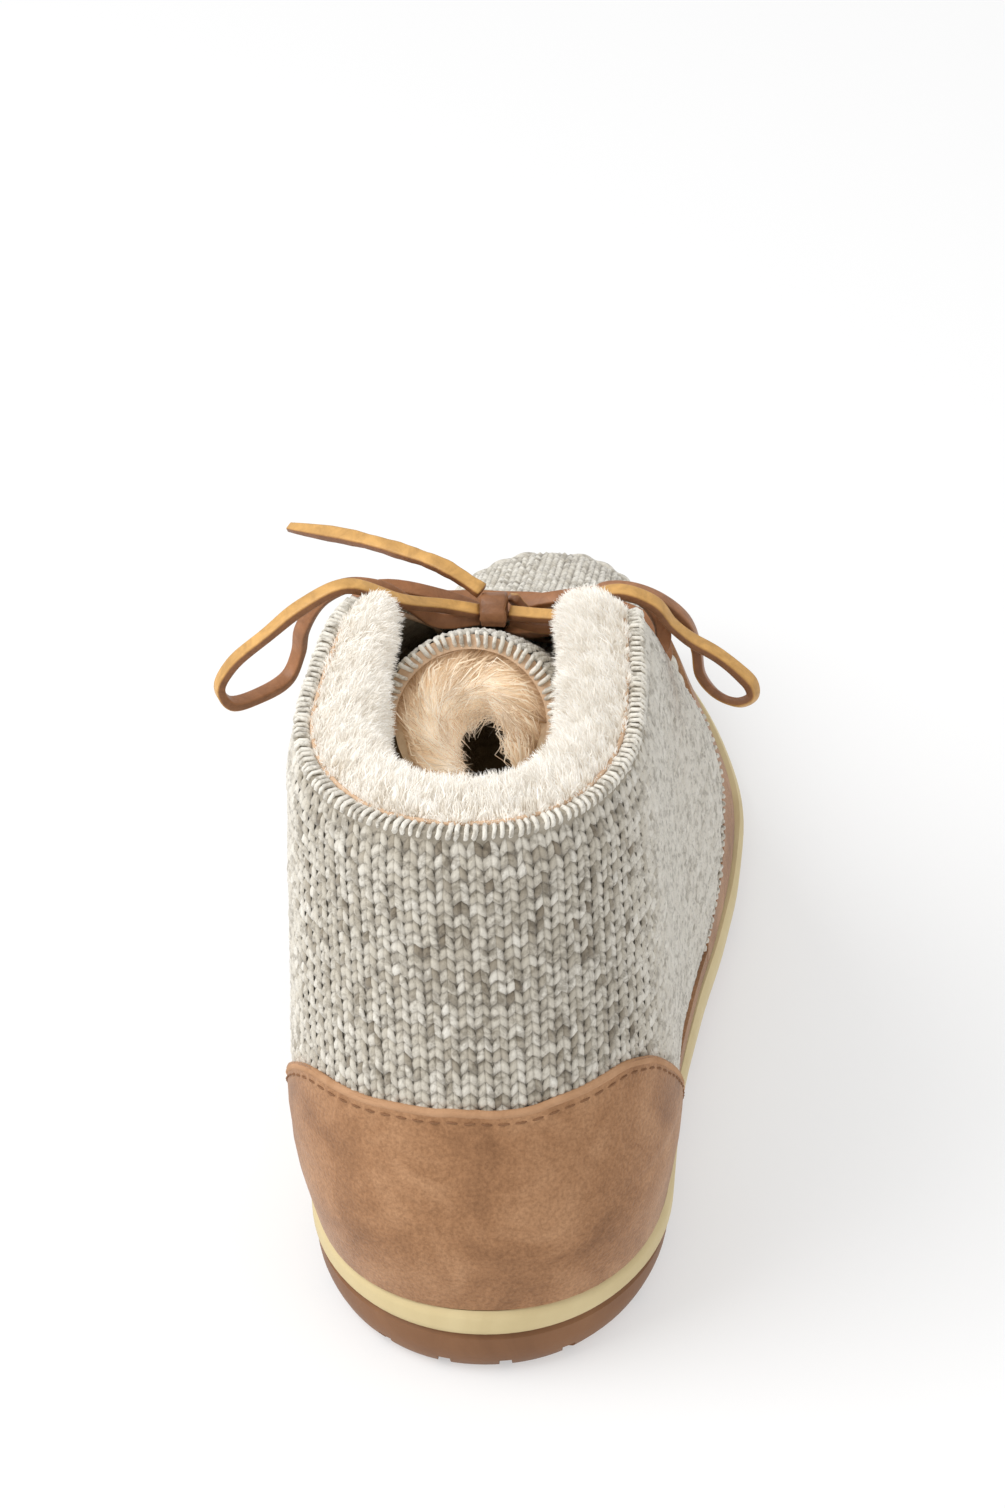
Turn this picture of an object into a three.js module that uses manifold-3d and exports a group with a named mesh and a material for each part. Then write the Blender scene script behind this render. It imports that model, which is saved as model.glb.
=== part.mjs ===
// Lace-up ankle boot for the right foot: a knit upper lined with pile, suede heel counter and
// toe wall, a cream midsole and a lugged rubber outsole, tied with a leather lace.
// Millimetres, +Z up, toe towards +Y, outer (lateral) side towards +X, floor at Z = 0.
import * as THREE from "three";
import { mergeVertices } from "three/addons/utils/BufferGeometryUtils.js";
import Module from "manifold-3d";

const wasm = await Module();
wasm.setup();

// Driving sizes
const soleLength = 256;
const ballWidth = 92;
const ledge = 3; // midsole that shows outside the upper
const wall = 2.4; // knit with its backing
const lap = 1.2; // quarter lapped over the vamp
const suede = 1.3;
const pile = 7.5; // depth of the pile lining
const gap = 0.3; // between pieces that meet
const midsoleThick = 5.6;
const insoleThick = 4;
const tongueThick = 3.6;
const laceWidth = 3.4;
const laceThick = 2.8;
const eyeletRadius = 2.3;
const seamRadius = 1.9;

// Ends of the outline: how far the rounding runs along the foot, and how square it is
const heelRound = { length: 40, power: 2.2 };
const soleHeelRound = { length: 44, power: 2.05 };
const toeRound = { length: 88, power: 1.95 };
const toeSwing = { shift: 1, from: 0.5 }; // sideways shift of the toe
const shaftLean = { shift: -4.6, from: 15, to: 118 }; // the shaft leans inwards as it rises
const archPower = { across: 2.4, forefoot: 2.3, shaft: 5.5 };
const archBlend = { shaftAt: 96, forefootAt: 166 }; // ahead of the heel, where the upright powers hold
const sidePoints = 18; // points along each side of a section
const tipHeight = 26; // height of the foremost point of the toe
const wallFoot = 7; // the wall stands upright this far above the midsole

// Outline of the sole: half widths as shares of the ball width, by share of the length from the heel
const plan = [
  { along: 0.0, lateral: 0.38, medial: 0.372 },
  { along: 0.14, lateral: 0.384, medial: 0.374 },
  { along: 0.27, lateral: 0.39, medial: 0.36 },
  { along: 0.4, lateral: 0.424, medial: 0.342 },
  { along: 0.51, lateral: 0.468, medial: 0.376 },
  { along: 0.61, lateral: 0.493, medial: 0.438 },
  { along: 0.7, lateral: 0.498, medial: 0.486 },
  { along: 0.8, lateral: 0.488, medial: 0.504 },
  { along: 0.9, lateral: 0.475, medial: 0.505 },
  { along: 1.0, lateral: 0.465, medial: 0.5 },
];

// Height of the tread's lowest line and of the midsole's top along the foot
const standing = [
  { along: 0.0, tread: 0.6, top: 16 },
  { along: 0.05, tread: 0, top: 15.6 },
  { along: 0.3, tread: 0, top: 14 },
  { along: 0.36, tread: 0.4, top: 13.5 },
  { along: 0.45, tread: 2.6, top: 12.7 },
  { along: 0.54, tread: 0.4, top: 11.9 },
  { along: 0.58, tread: 0, top: 11.5 },
  { along: 0.76, tread: 0, top: 11 },
  { along: 0.88, tread: 2.2, top: 12.8 },
  { along: 1.0, tread: 7, top: 17 },
];

// Level sections of the upper: how far its back and front stand in from the ends of the sole, and how full it is
const sections = [
  { up: 4, back: 8, front: 15, swell: 0.93 },
  { up: 12, back: 5, front: 8.5, swell: 0.955 },
  { up: 19, back: 3, front: 4.6, swell: 0.995 },
  { up: tipHeight, back: 1.8, front: 3.2, swell: 1.035 },
  { up: 31, back: 1.4, front: 5.4, swell: 1.06 },
  { up: 34.5, back: 1.5, front: 10.5, swell: 1.07 },
  { up: 37, back: 1.6, front: 17, swell: 1.07 },
  { up: 39.5, back: 1.9, front: 25, swell: 1.08 },
  { up: 42.5, back: 2.2, front: 35, swell: 1.08 },
  { up: 46.5, back: 2.8, front: 47, swell: 1.08 },
  { up: 51.5, back: 3.6, front: 60, swell: 1.08 },
  { up: 58, back: 4.8, front: 74, swell: 1.07 },
  { up: 65, back: 5.8, front: 89, swell: 1.06 },
  { up: 73, back: 6.9, front: 104, swell: 1.05 },
  { up: 81, back: 7.8, front: 117.5, swell: 1.04 },
  { up: 90, back: 8.6, front: 129.5, swell: 1.03 },
  { up: 100, back: 9.3, front: 140, swell: 1.01 },
  { up: 110, back: 9.9, front: 148.5, swell: 1.0 },
  { up: 121, back: 10.4, front: 156.5, swell: 0.99 },
  { up: 134, back: 10.8, front: 165, swell: 0.98 },
];

// How far the walls of the forefoot lean in, as a share of the half width, and the heights between which they do
const wallLean = [
  { ahead: 112, share: 0 },
  { ahead: 130, share: 0.025 },
  { ahead: 142, share: 0.06 },
  { ahead: 152, share: 0.09 },
  { ahead: 165, share: 0.14 },
  { ahead: 178, share: 0.2 },
  { ahead: 192, share: 0.24 },
  { ahead: 206, share: 0.245 },
  { ahead: 222, share: 0.21 },
  { ahead: 238, share: 0.135 },
  { ahead: 256, share: 0.05 },
];
const leanRange = { from: 2, whole: 18 };

// Edge of the collar and throat seen from the side, by distance ahead of the back of the sole
const topline = [
  { ahead: -9, up: 115.5 },
  { ahead: 13, up: 115.5 },
  { ahead: 36, up: 116 },
  { ahead: 59, up: 117.3 },
  { ahead: 75, up: 118.3 },
  { ahead: 83, up: 117.4 },
  { ahead: 89, up: 114.5 },
  { ahead: 95, up: 110.5 },
  { ahead: 103, up: 106 },
  { ahead: 115, up: 97.5 },
  { ahead: 127, up: 87.5 },
  { ahead: 137, up: 80.3 },
  { ahead: 145, up: 77.6 },
  { ahead: 153, up: 77.6 },
];

// Front edge of the quarter and top edge of the heel counter, seen from the side
const quarterEdge = [
  { ahead: 114, up: 0 },
  { ahead: 115, up: 16 },
  { ahead: 122, up: 40 },
  { ahead: 135, up: 62 },
  { ahead: 155, up: 84 },
];
const counterEdge = [
  { ahead: -9, lateral: 60, medial: 60 },
  { ahead: 4, lateral: 60, medial: 60 },
  { ahead: 9, lateral: 61.2, medial: 59.2 },
  { ahead: 17, lateral: 62, medial: 57.9 },
  { ahead: 23, lateral: 59.5, medial: 54.8 },
  { ahead: 31, lateral: 52, medial: 47.6 },
  { ahead: 41, lateral: 41, medial: 38 },
  { ahead: 52, lateral: 30, medial: 28.8 },
  { ahead: 60, lateral: 21, medial: 20.3 },
  { ahead: 64.5, lateral: 15.6, medial: 15.6 },
];
// Line where the knit apron meets the suede toe wall, by share of the length
const apronLine = [
  { along: 0.4, up: 22 },
  { along: 0.55, up: 23.5 },
  { along: 0.75, up: 25.5 },
  { along: 0.9, up: 30 },
  { along: 1.0, up: 33 },
];
const apronStart = 0.44;

// Steps of the sole's sides: inset from the outline by share of the height
const midsoleSide = [
  { share: 0, inset: 0.9 },
  { share: 0.22, inset: 0.1 },
  { share: 0.75, inset: 0 },
  { share: 1, inset: 0.9 },
];
const outsoleSide = [
  { share: 0, inset: 4 },
  { share: 0.25, inset: 2.1 },
  { share: 0.6, inset: 1 },
  { share: 0.9, inset: 0.8 },
  { share: 1, inset: 1.6 },
];
const soleStations = 28;

// Tread: grooves across the sole by share of the length, and short grooves at the back of the heel
const grooves = { width: 3.6, depth: 3, chevron: 5, reach: 62 };
const groovesAlong = [0.1, 0.17, 0.24, 0.31, 0.58, 0.645, 0.71, 0.775, 0.84, 0.905];
const heelNotches = { width: 3, length: 15, depth: 3, pitch: 11.5, count: 4, offset: -11.5 };

// Collar lining and tongue
const liningFloor = [
  { ahead: -9, up: 76 },
  { ahead: 71, up: 80 },
  { ahead: 101, up: 96 },
];
const tufts = { depth: 1.1, around: 9, upright: 10 };
const liningGap = { half: 21, from: 57 }; // the lining stops at the throat

// The tongue's middle line seen from the side, the radius it is curled to, and how far round it curls each way
const tongueRows = [
  { ahead: 161, up: 65, radius: 40, sweep: 20 },
  { ahead: 145, up: 73, radius: 34, sweep: 27 },
  { ahead: 131, up: 80, radius: 28, sweep: 37 },
  { ahead: 117, up: 89.5, radius: 22, sweep: 53 },
  { ahead: 103, up: 99.3, radius: 19, sweep: 70 },
  { ahead: 91, up: 107.4, radius: 17.8, sweep: 86 },
  { ahead: 83, up: 112.4, radius: 17.4, sweep: 96 },
  { ahead: 77, up: 115.6, radius: 17.2, sweep: 100 },
];
const tongueColumns = 14;

// Eyelets on the quarter, and the lace's routes: side of the shaft's middle, ahead of the back of the sole, up
const eyelets = {
  lower: { ahead: 110, up: 90.5 },
  upper: { ahead: 96.5, up: 101 },
};
const barLift = 3.5; // middle of the lace above the form where it lies on the quarter
const lowerBar = { overEdge: { ahead: 115.5, up: 95.5 }, dip: [10, 121.5, 96.5], middle: [0, 122.5, 96] };
const upperBar = { overEdge: { ahead: 102.5, up: 106.5 }, dip: [9, 106.5, 105.4], middle: [0, 107, 101.6] };
const laceRoutes = {
  lace_knot: [
    [1, 96, 106.2], [1, 95.7, 108.4], [1, 97.4, 110.4], [1, 100, 109.9], [1, 101.5, 107.4], [1, 100.8, 104.8],
  ],
  lace_loop_left: [
    [-2, 98, 107.6], [-8.4, 97, 109.2], [-16, 91.5, 113.2], [-25.8, 88.3, 118], [-34.4, 86.6, 114], [-41, 84.5, 109],
    [-48.4, 84.2, 102], [-51, 83.7, 97], [-49.4, 84.6, 93.2], [-44.4, 88.6, 92.6], [-39.4, 94.4, 93.4],
    [-37.2, 96, 98], [-35.8, 94.6, 104.4], [-31.4, 93.6, 112], [-26, 93.4, 115.2], [-20.4, 94.2, 114.4],
    [-15.2, 96.8, 109.6], [-10, 98.8, 104.8], [-2, 99.4, 105.4],
  ],
  lace_loop_right: [
    [4, 98, 107.6], [10.7, 97.3, 107.6], [16.2, 96, 108.8], [20.2, 95, 113.2], [25.6, 94, 115.6], [32, 93.6, 113.4],
    [35.2, 94, 108.8], [38.6, 94.4, 105.4], [43.7, 94, 102.4], [47.8, 93, 99.4], [50.2, 92.4, 96.8], [50.4, 92, 94.6],
    [48, 91.8, 93.2], [43.8, 93.4, 93.6], [40.4, 96.4, 96.2], [39.6, 98.2, 101], [37.6, 98.4, 107],
    [32.2, 98.2, 112], [27, 98, 114], [21.6, 98.2, 113.3], [17, 98.6, 108.2], [11.6, 99, 104.4], [4, 99.4, 105.4],
  ],
  lace_end_left: [
    [-1.4, 99.8, 111.2], [-8.7, 103.4, 114], [-16.9, 107.8, 114.5], [-27.1, 113.3, 114], [-40.9, 121.9, 111],
  ],
  lace_end_right: [
    [4.2, 102.5, 108.5], [7.4, 103.2, 104], [11.4, 105.4, 100.2], [9.8, 110.6, 96.4], [5.2, 115.4, 93],
    [1.5, 119.5, 90.7],
  ],
};

// Colours and finishes
const finish = (color, roughness) => new THREE.MeshStandardMaterial({ color, roughness, metalness: 0 });
const materials = {
  knit: finish(0xbdb6a7, 0.95),
  suede: finish(0xa67b5a, 0.9),
  cream: finish(0xd8c89a, 0.6),
  gum: finish(0x9c6f50, 0.55),
  pile: finish(0xefe9dd, 1),
  footbed: finish(0xe0d2ba, 0.95),
  lace: finish(0xb88648, 0.6),
};

// Smooth value of a table's column at a place in its key column, with no overshoot between rows.
function read(table, key, name, at) {
  const last = table.length - 2;
  const found = table.findIndex((row) => row[key] > at) - 1;
  const i = found < -1 ? last : Math.max(found, 0);
  const secant = (k) => (table[k + 1][name] - table[k][name]) / (table[k + 1][key] - table[k][key]);
  const slope = (k) => {
    if (k === 0 || k > last) return secant(Math.min(k, last));
    const [before, after] = [secant(k - 1), secant(k)];
    return before * after > 0 ? (2 * before * after) / (before + after) : 0;
  };
  const step = table[i + 1][key] - table[i][key];
  const t = (at - table[i][key]) / step;
  if (t < 0) return table[i][name] + slope(i) * (at - table[i][key]);
  if (t > 1) return table[i + 1][name] + slope(i + 1) * (at - table[i + 1][key]);
  const rise = table[i + 1][name] - table[i][name];
  const lead = slope(i) * step - rise;
  const tail = rise - slope(i + 1) * step;
  return table[i][name] + t * rise + t * (1 - t) * ((1 - t) * lead + t * tail);
}

const clamp = THREE.MathUtils.clamp;
const smoothstep = THREE.MathUtils.smoothstep;
const alongAt = (y) => clamp(y / soleLength + 0.5, 0, 1);
const treadAt = (y) => read(standing, "along", "tread", alongAt(y));
const footAt = (y) => read(standing, "along", "top", alongAt(y));
const planAt = (y, side) => ballWidth * read(plan, "along", side, alongAt(y));
const fromHeel = (ahead) => ahead - soleLength / 2;
const leanAt = (z) => shaftLean.shift * clamp((z - shaftLean.from) / (shaftLean.to - shaftLean.from), 0, 1);
const middleAt = (z) => sideShift + leanAt(z); // the shaft's middle at a height
const swingAt = (y) => toeSwing.shift * smoothstep(alongAt(y), toeSwing.from, 1);

// Share of the full width left at a distance from a rounded end.
function roundedEnd(distance, { length, power }) {
  const left = 1 - clamp(distance / length, 0, 1);
  return (1 - left ** power) ** (1 / power);
}

// The sole's outline on one side, before any shift.
function soleHalfWidth(y, side) {
  const ends = roundedEnd(y + soleLength / 2, soleHeelRound) * roundedEnd(soleLength / 2 - y, toeRound);
  return planAt(y, side) * ends;
}

// The outline isn't symmetric, so the whole boot is shifted to centre the sole on X = 0.
const sideShift = (() => {
  let [least, most] = [0, 0];
  for (let y = -soleLength / 2; y <= soleLength / 2; y += 1) {
    least = Math.min(least, swingAt(y) - soleHalfWidth(y, "medial"));
    most = Math.max(most, swingAt(y) + soleHalfWidth(y, "lateral"));
  }
  return -(least + most) / 2;
})();

const backAt = (z) => read(sections, "up", "back", z) - soleLength / 2;
const frontAt = (z) => soleLength / 2 - read(sections, "up", "front", z);

// Height of the boot's ridge over a place along the foot, found from the front edge of the sections.
function ridgeAt(y) {
  let [low, high] = [tipHeight, 600];
  for (let i = 0; i < 40; i++) {
    const middle = (low + high) / 2;
    if (frontAt(middle) > y) low = middle;
    else high = middle;
  }
  return low;
}

// Share of the half width that the forefoot's leaning walls leave.
function leanInAt(y, z) {
  const ahead = y - fromHeel(0);
  if (ahead <= wallLean[0].ahead) return 1;
  const { from, whole } = leanRange;
  return 1 - read(wallLean, "ahead", "share", ahead) * clamp((z - footAt(y) - from) / (whole - from), 0, 1);
}

// Half width of the foot form at a place along it and a height.
function formHalfWidth(y, z, side) {
  const full = (planAt(y, side) - ledge) * read(sections, "up", "swell", z);
  const toe = roundedEnd(frontAt(Math.min(z, tipHeight)) - y, toeRound);
  const foot = footAt(y) + wallFoot;
  const share = clamp((z - foot) / Math.max(ridgeAt(y) - foot, 1e-6), 0, 1);
  const { shaftAt, forefootAt } = archBlend;
  const towardsShaft = smoothstep(fromHeel(forefootAt) - y, 0, forefootAt - shaftAt);
  const upright = THREE.MathUtils.lerp(archPower.forefoot, archPower.shaft, towardsShaft);
  const arch = (1 - share ** upright) ** (1 / archPower.across);
  return full * roundedEnd(y - backAt(z), heelRound) * toe * arch * leanInAt(y, z);
}

// A point of the form's surface on one side.
function formPoint(y, z, side) {
  const out = formHalfWidth(y, z, side) * (side === "lateral" ? 1 : -1);
  return new THREE.Vector3(sideShift + swingAt(y) + leanAt(z) + out, y, z);
}

// A closed loop through stations from heel to toe on the outer side and back on the inner side.
function loopOf(stations, pointAt) {
  const outer = stations.map((y) => pointAt(y, "lateral"));
  const inner = stations.slice(1, -1).map((y) => pointAt(y, "medial"));
  return [...outer, ...inner.reverse()];
}

const spread = (low, high, count) =>
  Array.from({ length: count + 1 }, (_, i) => low + ((high - low) * (1 - Math.cos((Math.PI * i) / count))) / 2);

const asSolid = (positions, triVerts) =>
  new wasm.Manifold(
    new wasm.Mesh({
      numProp: 3,
      vertProperties: new Float32Array(positions.flatMap((p) => [p.x, p.y, p.z])),
      triVerts: new Uint32Array(triVerts),
    }),
  );

// Faces of loops stacked upwards, closed by strips across the first and the last.
function stackFaces(loopCount, size) {
  const faces = [];
  const at = (k, i) => k * size + ((i + size) % size);
  for (let k = 0; k + 1 < loopCount; k++)
    for (let i = 0; i < size; i++) {
      faces.push(at(k, i), at(k, i + 1), at(k + 1, i + 1));
      faces.push(at(k, i), at(k + 1, i + 1), at(k + 1, i));
    }
  const half = size / 2;
  const top = loopCount - 1;
  for (let i = 0; i < half; i++) {
    if (i > 0) faces.push(at(top, i), at(top, i + 1), at(top, -i), at(0, i), at(0, -i), at(0, i + 1));
    if (i + 1 < half)
      faces.push(at(top, -i), at(top, i + 1), at(top, -i - 1), at(0, -i), at(0, -i - 1), at(0, i + 1));
  }
  return faces;
}

const stack = (loops) => asSolid(loops.flat(), stackFaces(loops.length, loops[0].length));

// The foot form's own surface, with its outward normals.
const form = (() => {
  const loops = sections.map(({ up }) =>
    loopOf(spread(backAt(up), frontAt(up), sidePoints), (y, side) => formPoint(y, up, side)),
  );
  const points = loops.flat();
  const faces = stackFaces(loops.length, loops[0].length);
  const geometry = new THREE.BufferGeometry().setFromPoints(points).setIndex(faces);
  geometry.computeVertexNormals();
  const normals = geometry.getAttribute("normal");
  return { points, faces, normals: points.map((_, i) => new THREE.Vector3().fromBufferAttribute(normals, i)) };
})();

// The foot form grown by a distance, or by a distance worked out for each point.
function grow(distance) {
  const by = typeof distance === "function" ? distance : () => distance;
  const moved = form.points.map((p, i) => p.clone().addScaledVector(form.normals[i], by(p)));
  return asSolid(moved, form.faces);
}

// A three.js geometry as a solid.
function solidOf(geometry) {
  const bare = new THREE.BufferGeometry().setAttribute("position", geometry.getAttribute("position"));
  const merged = mergeVertices(geometry.index ? bare.setIndex(geometry.index) : bare, 1e-4);
  const points = merged.getAttribute("position");
  const list = Array.from({ length: points.count }, (_, i) => new THREE.Vector3().fromBufferAttribute(points, i));
  return asSolid(list, merged.index.array);
}

// A prism of an outline in Y and Z that runs across the whole boot, or across part of it.
const reach = 90;
function acrossBoot(outline, from = -reach, to = reach) {
  const shape = new THREE.Shape(outline.map(([y, z]) => new THREE.Vector2(y, z)));
  const geometry = new THREE.ExtrudeGeometry(shape, { depth: to - from, bevelEnabled: false });
  const axes = new THREE.Matrix4().makeBasis(
    new THREE.Vector3(0, 1, 0),
    new THREE.Vector3(0, 0, 1),
    new THREE.Vector3(1, 0, 0),
  );
  return solidOf(geometry.applyMatrix4(axes.setPosition(from, 0, 0)));
}

const edgePoints = (table, from, to, steps, lift = 0, name = "up") =>
  Array.from({ length: steps + 1 }, (_, i) => {
    const y = from + ((to - from) * i) / steps;
    return [y, read(table, "ahead", name, y - fromHeel(0)) + lift];
  });
const footPoints = (from, to, steps, lift) =>
  Array.from({ length: steps + 1 }, (_, i) => {
    const y = from + ((to - from) * i) / steps;
    return [y, footAt(y) + lift];
  });

const sole = { heel: -soleLength / 2, toe: soleLength / 2 };
const farBack = sole.heel - 9;
const farFront = sole.toe + 9;
const lastAhead = (table) => fromHeel(table[table.length - 1].ahead);
const throatPoint = lastAhead(topline);
const high = 160;

// Everything above the midsole and below the collar and throat edge.
const upperRegion = acrossBoot([
  ...footPoints(farBack, farFront, 28, gap),
  [farFront, high],
  [throatPoint, high],
  ...edgePoints(topline, throatPoint, farBack, 36),
]);

// The knit upper: vamp with the quarter lapped over it, hollow, open at the collar, throat and sole.
function makeUpper() {
  const quarterRegion = acrossBoot([
    [farBack, 0],
    ...quarterEdge.map(({ ahead, up }) => [fromHeel(ahead), up]),
    [lastAhead(quarterEdge), high],
    [farBack, high],
  ]);
  const outside = grow(0).add(grow(lap).intersect(quarterRegion));
  let upper = outside.subtract(grow(-wall)).intersect(upperRegion);
  for (const { at, out } of eyeletPlaces()) upper = upper.subtract(pinThrough(at, out, eyeletRadius, 20));
  return upper;
}

// A place on the foot form, and the way it faces there.
function surfaceAt(ahead, up, side) {
  const y = fromHeel(ahead);
  const along = formPoint(y + 1, up, side).sub(formPoint(y - 1, up, side));
  const upwards = formPoint(y, up + 1, side).sub(formPoint(y, up - 1, side));
  const out = along.cross(upwards).normalize();
  return { at: formPoint(y, up, side), out: side === "medial" ? out.negate() : out };
}
const sides = ["lateral", "medial"];
const eyeletPlaces = () =>
  Object.values(eyelets).flatMap(({ ahead, up }) => sides.map((side) => surfaceAt(ahead, up, side)));

// A round pin through a point of the surface.
function pinThrough(at, out, radius, length) {
  const pin = new THREE.CylinderGeometry(radius, radius, length, 12);
  const turn = new THREE.Quaternion().setFromUnitVectors(new THREE.Vector3(0, 1, 0), out);
  return solidOf(pin.applyQuaternion(turn).translate(at.x, at.y, at.z));
}

// A layer on the upper's outside, cut from two larger forms.
const layer = (inside, thick, region) => grow(inside + thick).subtract(grow(inside)).intersect(region);

function makeHeelCounter() {
  const front = lastAhead(counterEdge);
  const half = (side, from, to) => {
    const edge = edgePoints(counterEdge, front, farBack, 20, 0, side);
    return acrossBoot([...footPoints(farBack, front, 12, gap), ...edge], from, to);
  };
  const backSeam = middleAt(counterEdge[0].lateral);
  return layer(lap + gap, suede, half("lateral", backSeam, reach).add(half("medial", -reach, backSeam)));
}

const apronHeight = (y) => read(apronLine, "along", "up", alongAt(y));

function makeToeWall() {
  const start = sole.heel + apronStart * soleLength;
  const top = Array.from({ length: 25 }, (_, i) => farFront + ((start - farFront) * i) / 24);
  const region = acrossBoot([
    ...footPoints(start, farFront, 20, gap),
    ...top.map((y) => [y, apronHeight(y) - seamRadius - gap]),
  ]);
  return layer(gap, suede, region.subtract(behindQuarter()));
}

// Everything behind the quarter's front edge, with room for its lap.
function behindQuarter() {
  return acrossBoot([
    [farBack, -5],
    ...quarterEdge.map(({ ahead, up }) => [fromHeel(ahead) + 1, up - (up ? 0 : 5)]),
    [farBack, quarterEdge[quarterEdge.length - 1].up],
  ]);
}

// The raised seam round the apron, half sunk in the surface.
function makeApronSeam() {
  const start = sole.heel + apronStart * soleLength + 4;
  const stations = spread(start - 60, frontAt(apronHeight(sole.toe)) - 0.05, 40).filter((y) => y >= start);
  const point = (side) => (y) => {
    const z = apronHeight(y);
    return formPoint(Math.min(y, frontAt(z)), z, side);
  };
  const route = [...stations.map(point("lateral")), ...stations.slice(0, -1).reverse().map(point("medial"))];
  const seam = tubeAlong(route, roundSection(seamRadius), 40);
  return seam.subtract(grow(gap)).subtract(behindQuarter());
}

// Sections of cords, and tubes that follow a route
function roundSection(radius) {
  return new THREE.Shape(new THREE.EllipseCurve(0, 0, radius, radius).getPoints(8).slice(0, 8));
}
function laceSection() {
  const [w, t, c] = [laceThick / 2, laceWidth / 2, 0.7];
  const corners = [
    [w, t - c], [w - c, t], [c - w, t], [-w, t - c], [-w, c - t], [c - w, -t], [w - c, -t], [w, c - t],
  ];
  return new THREE.Shape(corners.map(([x, y]) => new THREE.Vector2(x, y)));
}
function tubeAlong(route, section, steps) {
  const path = new THREE.CatmullRomCurve3(route, false, "centripetal");
  return solidOf(new THREE.ExtrudeGeometry(section, { steps, extrudePath: path, bevelEnabled: false }));
}

// Sole pieces: loops of the outline, set in by the steps of the side
function soleLoop(inset, heightAt) {
  const stations = spread(sole.heel, sole.toe, soleStations);
  const edge = loopOf(stations, (y, side) => {
    const out = soleHalfWidth(y, side) * (side === "lateral" ? 1 : -1);
    return new THREE.Vector3(sideShift + swingAt(y) + out, y, 0);
  });
  return edge.map((p, i) => {
    const before = edge[(i + edge.length - 1) % edge.length];
    const after = edge[(i + 1) % edge.length];
    const along = after.clone().sub(before).normalize();
    const q = new THREE.Vector3(p.x - along.y * inset, p.y + along.x * inset, 0);
    return q.setZ(heightAt(q.y));
  });
}
const sideStack = (side, low, highAt) =>
  stack(side.map(({ share, inset }) => soleLoop(inset, (y) => low(y) + share * (highAt(y) - low(y)))));

const midsoleBase = (y) => footAt(y) - midsoleThick;
const makeMidsole = () => sideStack(midsoleSide, midsoleBase, footAt);

function makeOutsole() {
  let outsole = sideStack(outsoleSide, treadAt, (y) => midsoleBase(y) - gap);
  for (const along of groovesAlong) outsole = outsole.subtract(grooveAcross((along - 0.5) * soleLength));
  for (let i = 0; i < heelNotches.count; i++)
    outsole = outsole.subtract(heelNotch(sideShift + heelNotches.offset + (i - 0.5) * heelNotches.pitch));
  return outsole;
}

// A shallow chevron groove across the tread.
function grooveAcross(y) {
  const { width, depth, chevron, reach } = grooves;
  const bends = [-reach, 0, reach];
  const line = (offset) => bends.map((x) => new THREE.Vector2(x, y + offset + (x ? -chevron : chevron)));
  const shape = new THREE.Shape([...line(-width / 2), ...line(width / 2).reverse()]);
  const cut = new THREE.ExtrudeGeometry(shape, { depth: depth + 5, bevelEnabled: false });
  return solidOf(cut.translate(0, 0, treadAt(y) - 5));
}
function heelNotch(x) {
  const { width, length, depth } = heelNotches;
  const box = new THREE.BoxGeometry(width, length, depth * 2);
  return solidOf(box.translate(x, sole.heel + length / 2 - 1, 0.8));
}

// The footbed, inside the upper's wall.
function makeInsole() {
  const region = acrossBoot([
    ...footPoints(farBack, farFront, 30, gap),
    ...footPoints(farFront, farBack, 30, gap + insoleThick),
  ]);
  return grow(-(wall + gap)).intersect(region);
}

// The pile lining round the collar, its inner face broken into soft tufts.
function makeLining() {
  const outer = wall + gap;
  const tuftAt = (p) => {
    const turn = Math.atan2(p.x - sideShift, -p.y - 50);
    return Math.sin(turn * tufts.around) * Math.sin((p.z / tufts.upright) * Math.PI);
  };
  const front = lastAhead(liningFloor);
  const inner = (p) => -(outer + pile + tufts.depth * (tuftAt(p) - 1) * 0.5);
  const region = acrossBoot([
    ...edgePoints(liningFloor, farBack, front, 16),
    ...edgePoints(topline, front, farBack, 28, -0.8),
  ]);
  const { half, from } = liningGap;
  const reach = farFront - fromHeel(from);
  const throat = new THREE.BoxGeometry(2 * half, reach, 2 * high);
  throat.translate(middleAt(topline[0].up), farFront - reach / 2, 0);
  return grow(-outer).subtract(grow(inner)).intersect(region).subtract(solidOf(throat));
}

// A sheet of even thickness under a grid of points.
function sheet(grid, thick) {
  const columns = grid[0].length;
  const last = grid.length * columns;
  const faces = [];
  const quad = (a, b, c, d) => faces.push(a, b, c, a, c, d);
  for (let r = 0; r + 1 < grid.length; r++)
    for (let c = 0; c + 1 < columns; c++) {
      const at = r * columns + c;
      quad(at, at + columns, at + columns + 1, at + 1);
    }
  const face = new THREE.BufferGeometry().setFromPoints(grid.flat()).setIndex([...faces]);
  face.computeVertexNormals();
  const normals = face.getAttribute("normal");
  const under = grid.flat().map((p, i) => {
    const normal = new THREE.Vector3().fromBufferAttribute(normals, i);
    return p.clone().addScaledVector(normal, -thick);
  });
  for (let i = 0, count = faces.length; i < count; i += 3)
    faces.push(faces[i] + last, faces[i + 2] + last, faces[i + 1] + last);
  const border = [];
  for (let c = 0; c + 1 < columns; c++) border.push(c);
  for (let r = 0; r + 1 < grid.length; r++) border.push(r * columns + columns - 1);
  for (let c = columns - 1; c > 0; c--) border.push((grid.length - 1) * columns + c);
  for (let r = grid.length - 1; r > 0; r--) border.push(r * columns);
  border.forEach((a, i) => {
    const b = border[(i + 1) % border.length];
    quad(a, b, b + last, a + last);
  });
  return asSolid([...grid.flat(), ...under], faces);
}

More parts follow.
